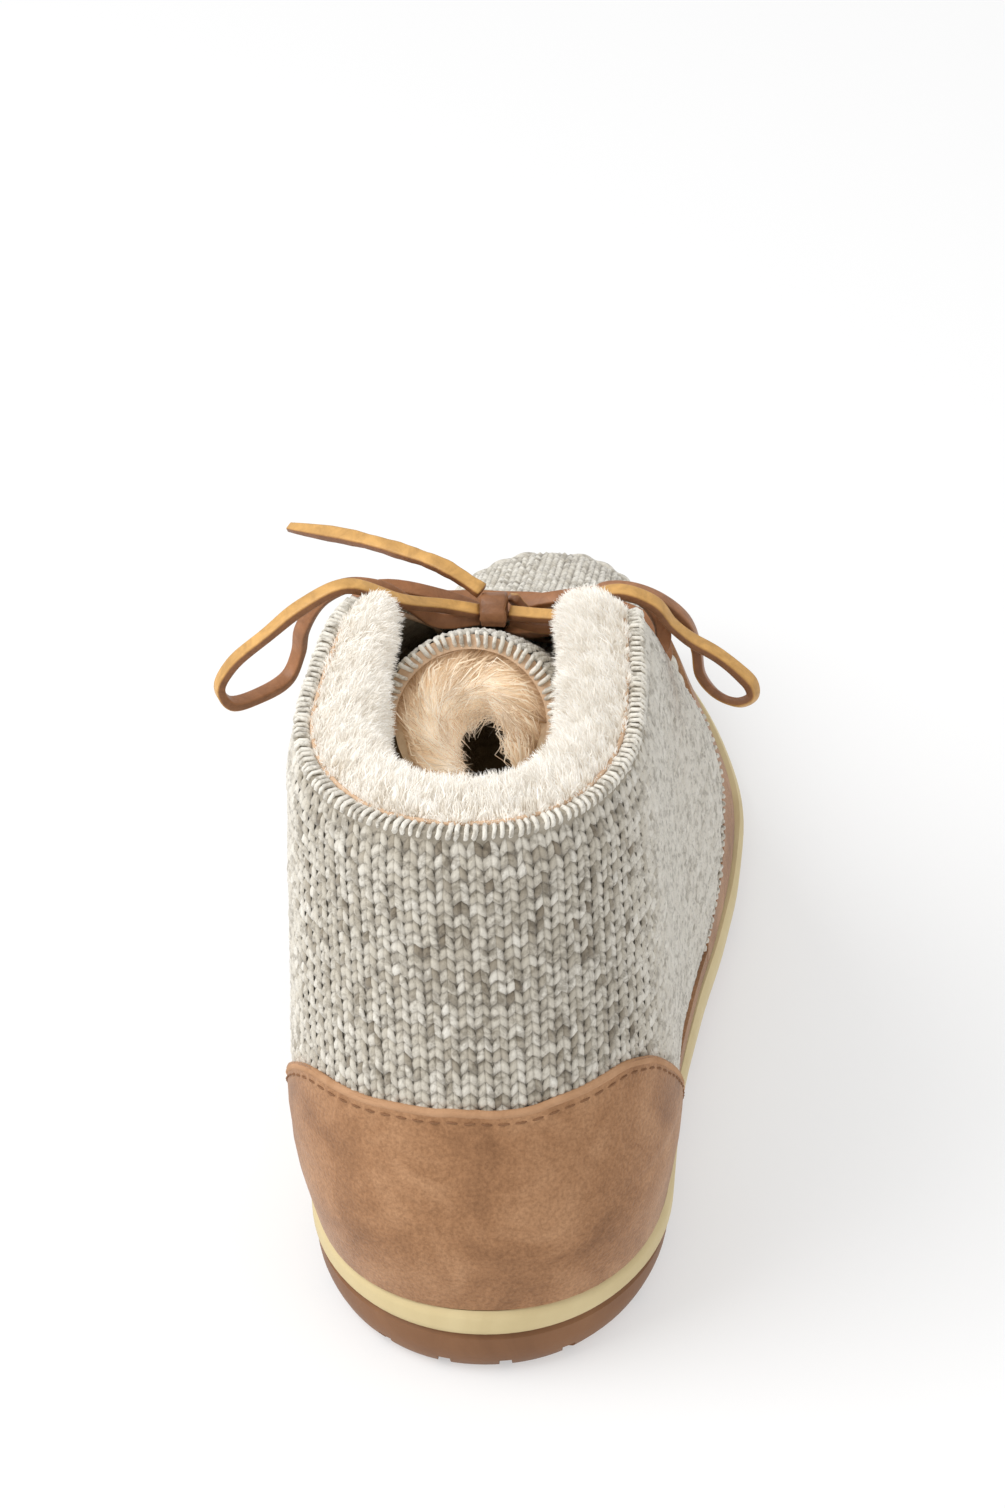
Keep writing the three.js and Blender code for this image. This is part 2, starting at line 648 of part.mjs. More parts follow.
// The tongue: sewn under the vamp, then standing inside the lining with its edges curled back.
function makeTongue() {
  const middle = tongueRows.map(({ ahead, up }) => new THREE.Vector3(middleAt(up), fromHeel(ahead), up));
  const grid = tongueRows.map(({ radius, sweep }, r) => {
    const before = middle[Math.max(r - 1, 0)];
    const after = middle[Math.min(r + 1, middle.length - 1)];
    const along = after.clone().sub(before).normalize();
    const out = new THREE.Vector3(0, along.z, -along.y);
    return Array.from({ length: tongueColumns + 1 }, (_, c) => {
      const turn = THREE.MathUtils.degToRad(sweep) * ((2 * c) / tongueColumns - 1);
      const point = middle[r].clone().addScaledVector(out, radius * (Math.cos(turn) - 1));
      return point.setX(middle[r].x + radius * Math.sin(turn));
    });
  });
  return sheet(grid, tongueThick);
}

const routePoints = (route) =>
  route.map(([x, ahead, up]) => new THREE.Vector3(middleAt(up) + x, fromHeel(ahead), up));

// A bar of the lace: out of one eyelet, over the edge of the quarter, across the tongue and back.
function makeBar(eyelet, { overEdge, dip, middle }) {
  const place = ({ ahead, up }, side) => {
    const { at, out } = surfaceAt(ahead, up, side);
    return at.addScaledVector(out, barLift);
  };
  const between = { ahead: (eyelet.ahead + overEdge.ahead) / 2, up: (eyelet.up + overEdge.up) / 2 };
  const [outer, inner] = sides.map((side) => [eyelet, between, overEdge].map((spot) => place(spot, side)));
  const [x, ahead, up] = dip;
  const route = [...outer, ...routePoints([dip, middle, [-x, ahead, up]]), ...inner.reverse()];
  return tubeAlong(route, laceSection(), 22);
}

const boot = new THREE.Group();
boot.name = "ankle_boot";

// Adds a solid to the boot as a named mesh.
function addPiece(name, solid, material) {
  const { vertProperties, triVerts } = solid.getMesh();
  const geometry = new THREE.BufferGeometry()
    .setAttribute("position", new THREE.BufferAttribute(new Float32Array(vertProperties), 3))
    .setIndex(new THREE.BufferAttribute(new Uint32Array(triVerts), 1));
  geometry.computeVertexNormals();
  const mesh = new THREE.Mesh(geometry, material);
  mesh.name = name;
  boot.add(mesh);
}

addPiece("outsole", makeOutsole(), materials.gum);
addPiece("midsole", makeMidsole(), materials.cream);
addPiece("insole", makeInsole(), materials.footbed);
addPiece("upper", makeUpper(), materials.knit);
addPiece("heel_counter", makeHeelCounter(), materials.suede);
addPiece("toe_wall", makeToeWall(), materials.suede);
addPiece("apron_seam", makeApronSeam(), materials.knit);
addPiece("pile_lining", makeLining(), materials.pile);
addPiece("tongue", makeTongue(), materials.knit);
addPiece("lace_bar_lower", makeBar(eyelets.lower, lowerBar), materials.lace);
addPiece("lace_bar_upper", makeBar(eyelets.upper, upperBar), materials.lace);
for (const [name, route] of Object.entries(laceRoutes)) {
  const points = routePoints(route);
  addPiece(name, tubeAlong(points, laceSection(), points.length * 2), materials.lace);
}

export default boot;
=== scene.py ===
import math
import bpy
import numpy as np
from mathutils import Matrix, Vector
from mathutils.kdtree import KDTree


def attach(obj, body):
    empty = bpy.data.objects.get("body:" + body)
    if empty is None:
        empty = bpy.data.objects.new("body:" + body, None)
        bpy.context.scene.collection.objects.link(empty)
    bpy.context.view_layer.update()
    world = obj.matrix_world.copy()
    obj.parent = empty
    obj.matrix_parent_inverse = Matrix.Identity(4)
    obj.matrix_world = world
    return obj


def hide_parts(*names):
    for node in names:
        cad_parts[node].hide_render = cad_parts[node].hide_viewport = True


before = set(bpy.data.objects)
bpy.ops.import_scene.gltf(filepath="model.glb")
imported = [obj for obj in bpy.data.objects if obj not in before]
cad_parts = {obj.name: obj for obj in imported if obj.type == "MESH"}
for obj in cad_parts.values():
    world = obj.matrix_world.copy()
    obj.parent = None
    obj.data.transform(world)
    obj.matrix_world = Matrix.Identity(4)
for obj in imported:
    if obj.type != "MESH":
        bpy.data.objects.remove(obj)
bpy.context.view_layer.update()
bpy.ops.object.select_all(action="DESELECT")
scene = bpy.context.scene
scene.view_settings.view_transform = "Standard"
dice = np.random.default_rng(7)

# Sizes in millimetres, as on the pattern sheets; meshes are written in metres.
boot = dict(soleLength=256, ballWidth=92, ledge=3, wall=2.4, lap=1.2, suede=1.3, gap=0.3,
            midsoleThick=5.6, eyeletRadius=2.3, seamRadius=1.9, tipHeight=26, wallFoot=7,
            heelRound=(40, 2.2), soleHeel=(44, 2.05), toeRound=(88, 1.95), toeSwing=(1, 0.5),
            lean=(-4.6, 15, 118), archAcross=2.4, archForefoot=2.3, archShaft=5.5, shaftAt=96, forefootAt=166)

# share of the length, outer half width, inner half width
plan = np.array([(0, .38, .372), (.14, .384, .374), (.27, .39, .36), (.4, .424, .342), (.51, .468, .376),
                 (.61, .493, .438), (.7, .498, .486), (.8, .488, .504), (.9, .475, .505), (1, .465, .5)])
# share of the length, tread, top of the midsole
standing = np.array([(0, .6, 16), (.05, 0, 15.6), (.3, 0, 14), (.36, .4, 13.5), (.45, 2.6, 12.7),
                     (.54, .4, 11.9), (.58, 0, 11.5), (.76, 0, 11), (.88, 2.2, 12.8), (1, 7, 17)])
# height, inset of the back, inset of the front, fullness
sections = np.array([(4, 8, 15, .93), (12, 5, 8.5, .955), (19, 3, 4.6, .995), (26, 1.8, 3.2, 1.035),
                     (31, 1.4, 5.4, 1.06), (34.5, 1.5, 10.5, 1.07), (37, 1.6, 17, 1.07),
                     (39.5, 1.9, 25, 1.08), (42.5, 2.2, 35, 1.08), (46.5, 2.8, 47, 1.08),
                     (51.5, 3.6, 60, 1.08), (58, 4.8, 74, 1.07), (65, 5.8, 89, 1.06), (73, 6.9, 104, 1.05),
                     (81, 7.8, 117.5, 1.04), (90, 8.6, 129.5, 1.03), (100, 9.3, 140, 1.01),
                     (110, 9.9, 148.5, 1), (121, 10.4, 156.5, .99), (134, 10.8, 165, .98)])
# how far the forefoot's walls lean in: distance ahead of the back of the sole, share of the half width
wallLean = np.array([(112, 0), (130, .025), (142, .06), (152, .09), (165, .14), (178, .2), (192, .24),
                     (206, .245), (222, .21), (238, .135), (256, .05)])
leanFrom, leanWhole = 2, 18  # heights above the midsole where the lean starts and is whole
# edges seen from the side: distance ahead of the back of the sole, height
topline = np.array([(-9, 115.5), (13, 115.5), (36, 116), (59, 117.3), (75, 118.3), (83, 117.4), (89, 114.5),
                    (95, 110.5), (103, 106), (115, 97.5), (127, 87.5), (137, 80.3), (145, 77.6), (153, 77.6)])
quarterEdge = np.array([(114, 0), (115, 16), (122, 40), (135, 62), (155, 84)])
# ahead, height on the outer side, height on the inner side
counterEdge = np.array([(-9, 60, 60), (4, 60, 60), (9, 61.2, 59.2), (17, 62, 57.9), (23, 59.5, 54.8),
                        (31, 52, 47.6), (41, 41, 38), (52, 30, 28.8), (60, 21, 20.3), (64.5, 15.6, 15.6)])
apronLine = np.array([(.4, 22), (.55, 23.5), (.75, 25.5), (.9, 30), (1, 33)])
apronStart = 0.44
liningFloor = np.array([(-9, 76), (71, 80), (101, 96)])
# ahead, height, radius, sweep in degrees
tongueRows = np.array([(161, 65, 40, 20), (145, 73, 34, 27), (131, 80, 28, 37), (117, 89.5, 22, 53),
                       (103, 99.3, 19, 70), (91, 107.4, 17.8, 86), (83, 112.4, 17.4, 96),
                       (77, 115.6, 17.2, 100)])
halfLength = boot["soleLength"] / 2


# smooth value of a table's column, with no overshoot between rows
def read(table, column, at):
    at = np.asarray(at, float)
    key, value = table[:, 0], table[:, column]
    secant = np.diff(value) / np.diff(key)
    before, after = secant[:-1], secant[1:]
    both = before * after
    total = np.where(before + after == 0, 1, before + after)
    slope = np.concatenate([secant[:1], np.where(both > 0, 2 * both / total, 0), secant[-1:]])
    i = np.clip(np.searchsorted(key, at, side="right") - 1, 0, len(key) - 2)
    step = key[i + 1] - key[i]
    t = (at - key[i]) / step
    rise = value[i + 1] - value[i]
    bend = (1 - t) * (slope[i] * step - rise) + t * (rise - slope[i + 1] * step)
    inside = value[i] + t * rise + t * (1 - t) * bend
    below = value[i] + slope[i] * (at - key[i])
    above = value[i + 1] + slope[i + 1] * (at - key[i + 1])
    return np.where(t < 0, below, np.where(t > 1, above, inside))


def smooth(t):
    t = np.clip(t, 0, 1)
    return t * t * (3 - 2 * t)


def shareAlong(y):
    return np.clip(np.asarray(y, float) / boot["soleLength"] + 0.5, 0, 1)


def treadAt(y):
    return read(standing, 1, shareAlong(y))


def footAt(y):
    return read(standing, 2, shareAlong(y))


def swingAt(y):
    shift, start = boot["toeSwing"]
    return shift * smooth((shareAlong(y) - start) / (1 - start))


def leanAt(z):
    shift, low, high = boot["lean"]
    return shift * np.clip((np.asarray(z, float) - low) / (high - low), 0, 1)


def roundedEnd(distance, shape):
    length, power = shape
    left = 1 - np.clip(distance / length, 0, 1)
    return np.maximum(1 - left ** power, 0) ** (1 / power)


def planAt(y, side):
    share = shareAlong(y)
    return boot["ballWidth"] * np.where(side > 0, read(plan, 1, share), read(plan, 2, share))


def soleHalf(y, side):
    heel, toe = roundedEnd(y + halfLength, boot["soleHeel"]), roundedEnd(halfLength - y, boot["toeRound"])
    return planAt(y, side) * heel * toe


def backAt(z):
    return read(sections, 1, z) - halfLength


def frontAt(z):
    return halfLength - read(sections, 2, z)


stationsY = np.append(np.arange(-halfLength, halfLength, 1.0), halfLength)
innerMost = (swingAt(stationsY) - soleHalf(stationsY, -1)).min()
sideShift = -(innerMost + (swingAt(stationsY) + soleHalf(stationsY, 1)).max()) / 2
ridgeHeights = np.linspace(boot["tipHeight"], 400, 7500)
ridgeFronts = frontAt(ridgeHeights)


def ridgeAt(y):
    return np.interp(-np.asarray(y, float), -ridgeFronts, ridgeHeights)


def formHalf(y, z, side):
    full = (planAt(y, side) - boot["ledge"]) * read(sections, 3, z)
    toe = roundedEnd(frontAt(np.minimum(z, boot["tipHeight"])) - y, boot["toeRound"])
    foot = footAt(y) + boot["wallFoot"]
    share = np.clip((z - foot) / np.maximum(ridgeAt(y) - foot, 1e-6), 0, 1)
    shaft = smooth((boot["forefootAt"] - halfLength - y) / (boot["forefootAt"] - boot["shaftAt"]))
    upright = boot["archForefoot"] + (boot["archShaft"] - boot["archForefoot"]) * shaft
    arch = np.maximum(1 - share ** upright, 0) ** (1 / boot["archAcross"])
    leanIn = np.where(y > wallLean[0, 0] - halfLength, read(wallLean, 1, y + halfLength), 0.0)
    tapered = 1 - leanIn * np.clip((z - footAt(y) - leanFrom) / (leanWhole - leanFrom), 0, 1)
    return full * roundedEnd(y - backAt(z), boot["heelRound"]) * toe * arch * tapered


def middleX(y, z):
    return sideShift + swingAt(y) + leanAt(z)


def formPoint(y, z, side):
    y, z, side = np.broadcast_arrays(np.asarray(y, float), np.asarray(z, float), np.asarray(side, float))
    return np.stack([middleX(y, z) + side * formHalf(y, z, side), y, z], -1)


# the way the foot form faces at a point of its surface
def outward(p, side):
    y, z = p[..., 1], p[..., 2]
    step = 0.25
    off = p[..., 0] - middleX(y, z)
    squareY = (formHalf(y + step, z, side) ** 2 - formHalf(y - step, z, side) ** 2) / (2 * step)
    squareZ = (formHalf(y, z + step, side) ** 2 - formHalf(y, z - step, side) ** 2) / (2 * step)
    centreZ = (leanAt(z + step) - leanAt(z - step)) / (2 * step)
    return unit(np.stack([2 * off, -squareY, -squareZ - 2 * off * centreZ], -1))


def unit(v):
    return v / np.maximum(np.linalg.norm(v, axis=-1, keepdims=True), 1e-9)


# outer points, the way they face, inner points, the way they face
def bothSides(y, z):
    found = []
    for side in (1.0, -1.0):
        at = formPoint(y, z, side)
        found += [at, outward(at, np.full(len(at), side))]
    return found


def runOf(points):  # how far along a path each of its points lies
    return np.append(0, np.cumsum(np.linalg.norm(np.diff(points, axis=0), axis=1)))


def pickAlong(at, run, values):
    return np.stack([np.interp(at, run, values[:, c]) for c in range(3)], -1)


def linked(name, data):
    made = bpy.data.objects.new(name, data)
    scene.collection.objects.link(made)
    return made


# a mesh object from arrays of points and equal faces
def pieceFrom(name, points, faces, values=None):
    mesh = bpy.data.meshes.new(name)
    groups = [np.asarray(g, np.int32) for g in (faces if isinstance(faces, list) else [faces])]
    corners = np.concatenate([g.ravel() for g in groups])
    starts = np.cumsum([0] + [g.shape[1] for g in groups for _ in g])[:-1].astype(np.int32)
    mesh.vertices.add(len(points))
    mesh.vertices.foreach_set("co", (np.asarray(points, np.float64) / 1000).astype(np.float32).ravel())
    mesh.loops.add(len(corners))
    mesh.loops.foreach_set("vertex_index", corners)
    mesh.polygons.add(len(starts))
    mesh.polygons.foreach_set("loop_start", starts)
    mesh.update(calc_edges=True)
    for key, data in (values or {}).items():
        layer = mesh.attributes.new(key, "FLOAT", "POINT")
        layer.data.foreach_set("value", np.asarray(data, np.float32).ravel())
    mesh.shade_smooth()
    return linked(name, mesh)


# a plain body from points and faces of any number of corners
def plainBody(name, points, faces):
    mesh = bpy.data.meshes.new(name)
    mesh.from_pydata((np.asarray(points, float) / 1000).tolist(), [], faces)
    return linked(name, mesh)


def pickOnly(obj):
    bpy.ops.object.select_all(action="DESELECT")
    obj.select_set(True)
    bpy.context.view_layer.objects.active = obj


# turns a closed body's faces outwards, or any piece's faces over
def turnFaces(obj, over=False):
    pickOnly(obj)
    bpy.ops.object.mode_set(mode="EDIT")
    bpy.ops.mesh.select_all(action="SELECT")
    if over:
        bpy.ops.mesh.flip_normals()
    else:
        bpy.ops.mesh.normals_make_consistent(inside=False)
    bpy.ops.object.mode_set(mode="OBJECT")
    return obj


# adds a modifier, sets it up and applies it
def applyModifier(obj, kind, **settings):
    modifier = obj.modifiers.new(kind.lower(), kind)
    for key, value in settings.items():
        setattr(modifier, key, value)
    pickOnly(obj)
    bpy.ops.object.modifier_apply(modifier=modifier.name)


def cutWith(obj, tool, operation="DIFFERENCE"):
    applyModifier(obj, "BOOLEAN", object=tool, operation=operation, solver="MANIFOLD")
    bpy.data.objects.remove(tool)
    return obj


def finishPiece(obj, material, slotName, *nodes, smoothAngle=None):
    obj.data.materials.clear()
    obj.data.materials.append(material)
    if smoothAngle:
        pickOnly(obj)
        bpy.ops.object.shade_smooth_by_angle(angle=math.radians(smoothAngle))
    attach(obj, "root")
    if nodes:
        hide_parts(*nodes)
    return obj


# node helpers for the materials
def newMaterial(name, roughness, sheen=0.0, sheenRough=0.5, coat=0.0, specular=0.5):
    material = bpy.data.materials.new(name)
    material.use_nodes = True
    tree = material.node_tree
    shader = tree.nodes["Principled BSDF"]
    shader.inputs["Roughness"].default_value = roughness
    shader.inputs["Sheen Weight"].default_value = sheen
    shader.inputs["Sheen Roughness"].default_value = sheenRough
    shader.inputs["Coat Weight"].default_value = coat
    shader.inputs["Specular IOR Level"].default_value = specular
    return material, tree, shader


def addNode(tree, kind, links=None, **settings):
    node = tree.nodes.new(kind)
    for key, value in settings.items():
        if hasattr(node, key):
            setattr(node, key, value)
        else:
            node.inputs[key.replace("_", " ")].default_value = value
    for socket, source in (links or {}).items():
        tree.links.new(source, node.inputs[socket])
    return node


def ramp(tree, source, *stops):
    node = tree.nodes.new("ShaderNodeValToRGB")
    elements = node.color_ramp.elements
    while len(elements) < len(stops):
        elements.new(0.5)
    for element, (place, colour) in zip(elements, stops):
        element.position = place
        element.color = (*colour, 1)
    tree.links.new(source, node.inputs["Fac"])
    return node.outputs["Color"]


def mixColour(tree, factor, first, second, blend="MIX"):
    node = tree.nodes.new("ShaderNodeMix")
    node.data_type = "RGBA"
    node.blend_type = blend
    for socket, value in ((0, factor), (6, first), (7, second)):
        if isinstance(value, (int, float)):
            node.inputs[socket].default_value = value
        elif isinstance(value, tuple):
            node.inputs[socket].default_value = (*value, 1)
        else:
            tree.links.new(value, node.inputs[socket])
    return node.outputs[2]


# shared grain: blotches, fine grain and a height, on object coordinates
def buildGrainGroup():
    group = bpy.data.node_groups.new("surface_grain", "ShaderNodeTree")
    for name, default in (("Blotch Scale", 60.0), ("Grain Scale", 900.0), ("Stretch", 1.0)):
        socket = group.interface.new_socket(name, in_out="INPUT", socket_type="NodeSocketFloat")
        socket.default_value = default
    for name in ("Blotch", "Grain", "Height"):
        group.interface.new_socket(name, in_out="OUTPUT", socket_type="NodeSocketFloat")
    entry = group.nodes.new("NodeGroupInput")
    leave = group.nodes.new("NodeGroupOutput")
    place = group.nodes.new("ShaderNodeTexCoord")
    squeeze = addNode(group, "ShaderNodeCombineXYZ", {"Z": entry.outputs["Stretch"]}, X=1.0, Y=1.0)
    drawn = addNode(group, "ShaderNodeVectorMath", operation="MULTIPLY")
    group.links.new(place.outputs["Object"], drawn.inputs[0])
    group.links.new(squeeze.outputs[0], drawn.inputs[1])
    blotch = addNode(group, "ShaderNodeTexNoise", Detail=5.0, Roughness=0.62, Distortion=0.6)
    grain = addNode(group, "ShaderNodeTexNoise", Detail=3.0, Roughness=0.6)
    for noise, scale in ((blotch, "Blotch Scale"), (grain, "Grain Scale")):
        group.links.new(drawn.outputs[0], noise.inputs["Vector"])
        group.links.new(entry.outputs[scale], noise.inputs["Scale"])
    height = addNode(group, "ShaderNodeMath", operation="MULTIPLY_ADD")
    group.links.new(blotch.outputs["Fac"], height.inputs[0])
    height.inputs[1].default_value = 0.6
    group.links.new(grain.outputs["Fac"], height.inputs[2])
    for name, node in (("Blotch", blotch), ("Grain", grain), ("Height", height)):
        group.links.new(node.outputs[0], leave.inputs[name])
    return group


grainGroup = buildGrainGroup()


def grainIn(tree, blotchScale, grainScale, stretch=1.0):
    node = tree.nodes.new("ShaderNodeGroup")
    node.node_tree = grainGroup
    node.inputs["Blotch Scale"].default_value = blotchScale
    node.inputs["Grain Scale"].default_value = grainScale
    node.inputs["Stretch"].default_value = stretch
    return node.outputs


def bumpInto(tree, shader, height, strength, distance):
    bump = addNode(tree, "ShaderNodeBump", {"Height": height}, Strength=strength, Distance=distance)
    tree.links.new(bump.outputs["Normal"], shader.inputs["Normal"])


def attribute(tree, name):
    return addNode(tree, "ShaderNodeAttribute", attribute_name=name).outputs["Fac"]


suedeLook = dict(dark=(.27, .134, .064), mid=(.375, .193, .094), light=(.51, .285, .152))


def makeSuede():
    material, tree, shader = newMaterial("suede_nap", 0.92, sheen=0.25, sheenRough=0.4, specular=0.2)
    grain = grainIn(tree, 55.0, 1500.0)
    tone = ramp(tree, grain["Blotch"], (0.3, suedeLook["dark"]), (0.48, suedeLook["mid"]),
                (0.72, suedeLook["light"]))
    nap = ramp(tree, grain["Grain"], (0.3, (.74, .72, .7)), (0.65, (1.05, 1.05, 1.05)))
    tree.links.new(mixColour(tree, 1.0, tone, nap, "MULTIPLY"), shader.inputs["Base Color"])
    bumpInto(tree, shader, grain["Height"], 0.35, 0.0006)
    return material


rubberLook = dict(cream=((.60, .48, .255), (.71, .59, .34)), gum=((.185, .085, .038), (.29, .142, .067)))


def makeRubber(name, colours, roughness):
    material, tree, shader = newMaterial(name, roughness, specular=0.22)
    grain = grainIn(tree, 40.0, 1200.0)
    tone = ramp(tree, grain["Blotch"], (0.3, colours[0]), (0.7, colours[1]))
    tree.links.new(tone, shader.inputs["Base Color"])
    rough = addNode(tree, "ShaderNodeMapRange", {"Value": grain["Blotch"]})
    rough.inputs["To Min"].default_value = roughness - 0.12
    rough.inputs["To Max"].default_value = roughness + 0.12
    tree.links.new(rough.outputs[0], shader.inputs["Roughness"])
    bumpInto(tree, shader, grain["Grain"], 0.12, 0.0003)
    return material


yarnLook = dict(dark=(.26, .215, .155), shade=(.42, .37, .29), mid=(.62, .57, .475), light=(.84, .80, .715))


# marled yarn: each stitch has its own tint, and fine twisted flecks; where its depth value is low the yarn gets
# painted shade
def makeYarn():
    material, tree, shader = newMaterial("marl_yarn", 0.95, sheen=0.35, sheenRough=0.6, specular=0.15)
    grain = grainIn(tree, 420.0, 2600.0)
    tone = ramp(tree, attribute(tree, "tint"), (0.0, yarnLook["dark"]), (0.16, yarnLook["shade"]),
                (0.4, yarnLook["mid"]), (1.0, yarnLook["light"]))
    fleck = ramp(tree, grain["Blotch"], (0.36, (.55, .53, .5)), (0.52, (1, 1, 1)))
    shaded = mixColour(tree, 1.0, tone, fleck, "MULTIPLY")
    # painted shade: darker where the yarn sinks, between the stitches and at the ends of their legs
    deep = ramp(tree, attribute(tree, "depth"), (0.0, (.30, .28, .25)), (0.75, (1, 1, 1)))
    tree.links.new(mixColour(tree, 1.0, shaded, deep, "MULTIPLY"), shader.inputs["Base Color"])
    bumpInto(tree, shader, grain["Height"], 0.6, 0.0004)
    return material


# colours of the strands at the root, along the body, at the tip and in the darker streaks, and the strength of
# their painted glow
pileColours = dict(
    collar_pile=dict(root=(.82, .755, .665), body=(.90, .86, .795), tip=(.95, .93, .89),
                     streak=(.86, .83, .78), paintedGlow=0.125),
    inner_pile=dict(root=(.52, .36, .21), body=(.86, .72, .54), tip=(.98, .92, .82),
                    streak=(.64, .53, .42), paintedGlow=0.22))


def makePile(name):
    look = pileColours[name]
    material, tree, shader = newMaterial(name, 0.9, sheen=0.4, sheenRough=0.5, specular=0.15)
    shader.inputs["Emission Strength"].default_value = look["paintedGlow"]  # painted glow: the strands give off light of their own colour, standing in for light that passes through the fibres
    along = ramp(tree, attribute(tree, "along"), (0.0, look["root"]), (0.45, look["body"]), (1.0, look["tip"]))
    own = ramp(tree, attribute(tree, "tint"), (0.0, look["streak"]), (0.6, (1, 1, 1)),
               (1.0, (1.06, 1.06, 1.06)))
    colour = mixColour(tree, 1.0, along, own, "MULTIPLY")
    tree.links.new(colour, shader.inputs["Base Color"])
    tree.links.new(colour, shader.inputs["Emission Color"])
    return material


def makeLeather():
    material, tree, shader = newMaterial("lace_leather", 0.5, coat=0.08, specular=0.4)
    grain = grainIn(tree, 260.0, 1800.0)
    # the golden upper side and the reddish under side are the leather's own two sides; the darkest brown, on
    # the edges between them, is painted shade
    faceAndShade = ramp(tree, attribute(tree, "faceAndShade"), (0.0, (.36, .165, .075)), (0.5, (.24, .105, .045)),
                (0.8, (.47, .24, .07)), (1.0, (.63, .36, .115)))
    worn = ramp(tree, grain["Blotch"], (0.3, (.72, .68, .62)), (0.66, (1.12, 1.1, 1.05)))
    tree.links.new(mixColour(tree, 1.0, faceAndShade, worn, "MULTIPLY"), shader.inputs["Base Color"])
    bumpInto(tree, shader, grain["Height"], 0.3, 0.0004)
    return material


def makePlain(name, first, second, roughness, scale=200.0, specular=0.25, bump=(0.4, 0.0004)):
    material, tree, shader = newMaterial(name, roughness, specular=specular)
    grain = grainIn(tree, scale, 1500.0)
    tone = ramp(tree, grain["Blotch"], (0.3, first), (0.7, second))
    tree.links.new(tone, shader.inputs["Base Color"])
    bumpInto(tree, shader, grain["Height"], *bump)
    return material


suede = makeSuede()
cream = makeRubber("midsole_cream", rubberLook["cream"], 0.55)
gum = makeRubber("outsole_gum", rubberLook["gum"], 0.5)
yarn = makeYarn()
# painted shade: the knit's body under the stitches is darker than the yarn, so it shows as shade in the gaps
# between them
painted_shade_backing = makePlain("knit_backing", (.29, .255, .2), (.5, .45, .37), 0.97, 300.0, 0.1, (0.6, 0.0006))
collarPile, innerPile = makePile("collar_pile"), makePile("inner_pile")
pileSkin = makePlain("pile_skin", (.80, .73, .63), (.90, .85, .77), 0.95)
furSkin = makePlain("fur_skin", (.60, .43, .27), (.80, .63, .44), 0.95)
tanEdge = makePlain("tan_edge", (.60, .40, .25), (.72, .52, .36), 0.85)
leather = makeLeather()
# painted highlight: the turned rim of the heel counter is a little lighter than the suede
suedeEdgeHighlight = makePlain("turned_suede_painted_highlight", (.40, .215, .11), (.56, .33, .19), 0.9, 120.0)
thread = makePlain("counter_thread", (.20, .098, .047), (.27, .138, .07), 0.85, 900.0)
footbed = makePlain("footbed_felt", (.50, .40, .28), (.66, .56, .42), 0.97)
print("materials ready")

# camera at the photo's angle, worked out from the boot's outline
view = dict(azimuth=4.0745, elevation=32.9008, distance=857.913, target=(-4.685, 0, 55.867),
            focalPixels=4199.85, pictureHeight=1508)
cameraData = bpy.data.cameras.new("camera")
camera = scene.camera = linked("camera", cameraData)
turn, tilt = math.radians(view["azimuth"]), math.radians(view["elevation"])
behind = Vector((math.sin(turn) * math.cos(tilt), -math.cos(turn) * math.cos(tilt), math.sin(tilt)))
camera.location = (Vector(view["target"]) + behind * view["distance"]) / 1000
camera.rotation_mode = "QUATERNION"
camera.rotation_quaternion = (-behind).to_track_quat("-Z", "Y")
cameraData.sensor_width = 36
cameraData.lens = view["focalPixels"] / view["pictureHeight"] * 36
cameraData.clip_start = 0.01

# the lace's routes: side of the shaft's middle, ahead of the back of the sole, height
laceRoutes = dict(
    lace_knot=[(1, 96, 106.2), (1, 95.7, 108.4), (1, 97.4, 110.4), (1, 100, 109.9), (1, 101.5, 107.4),
               (1, 100.8, 104.8)],
    lace_loop_left=[
        (-2, 98, 107.6), (-8.4, 97, 109.2), (-16, 91.5, 113.2), (-25.8, 88.3, 118), (-34.4, 86.6, 114),
        (-41, 84.5, 109), (-48.4, 84.2, 102), (-51, 83.7, 97), (-49.4, 84.6, 93.2), (-44.4, 88.6, 92.6),
        (-39.4, 94.4, 93.4), (-37.2, 96, 98), (-35.8, 94.6, 104.4), (-31.4, 93.6, 112), (-26, 93.4, 115.2),
        (-20.4, 94.2, 114.4), (-15.2, 96.8, 109.6), (-10, 98.8, 104.8), (-2, 99.4, 105.4)],
    lace_loop_right=[
        (4, 98, 107.6), (10.7, 97.3, 107.6), (16.2, 96, 108.8), (20.2, 95, 113.2), (25.6, 94, 115.6),
        (32, 93.6, 113.4), (35.2, 94, 108.8), (38.6, 94.4, 105.4), (43.7, 94, 102.4), (47.8, 93, 99.4),
        (50.2, 92.4, 96.8), (50.4, 92, 94.6), (48, 91.8, 93.2), (43.8, 93.4, 93.6), (40.4, 96.4, 96.2),
        (39.6, 98.2, 101), (37.6, 98.4, 107), (32.2, 98.2, 112), (27, 98, 114), (21.6, 98.2, 113.3),
        (17, 98.6, 108.2), (11.6, 99, 104.4), (4, 99.4, 105.4)],
    lace_end_left=[(-1.4, 99.8, 111.2), (-8.7, 103.4, 114), (-16.9, 107.8, 114.5), (-27.1, 113.3, 114),
                   (-40.9, 121.9, 111)],
    lace_end_right=[(4.2, 102.5, 108.5), (7.4, 103.2, 104), (11.4, 105.4, 100.2), (9.8, 110.6, 96.4),
                    (5.2, 115.4, 93), (1.5, 119.5, 90.7)])
laceSize = dict(width=2.9, thick=1.8, corner=0.35, perSpan=8, knot=4.8)


def routePoints(route):
    route = np.asarray(route, float)
    side, ahead, up = route.T
    return np.stack([sideShift + leanAt(up) + side, ahead - halfLength, up], -1)


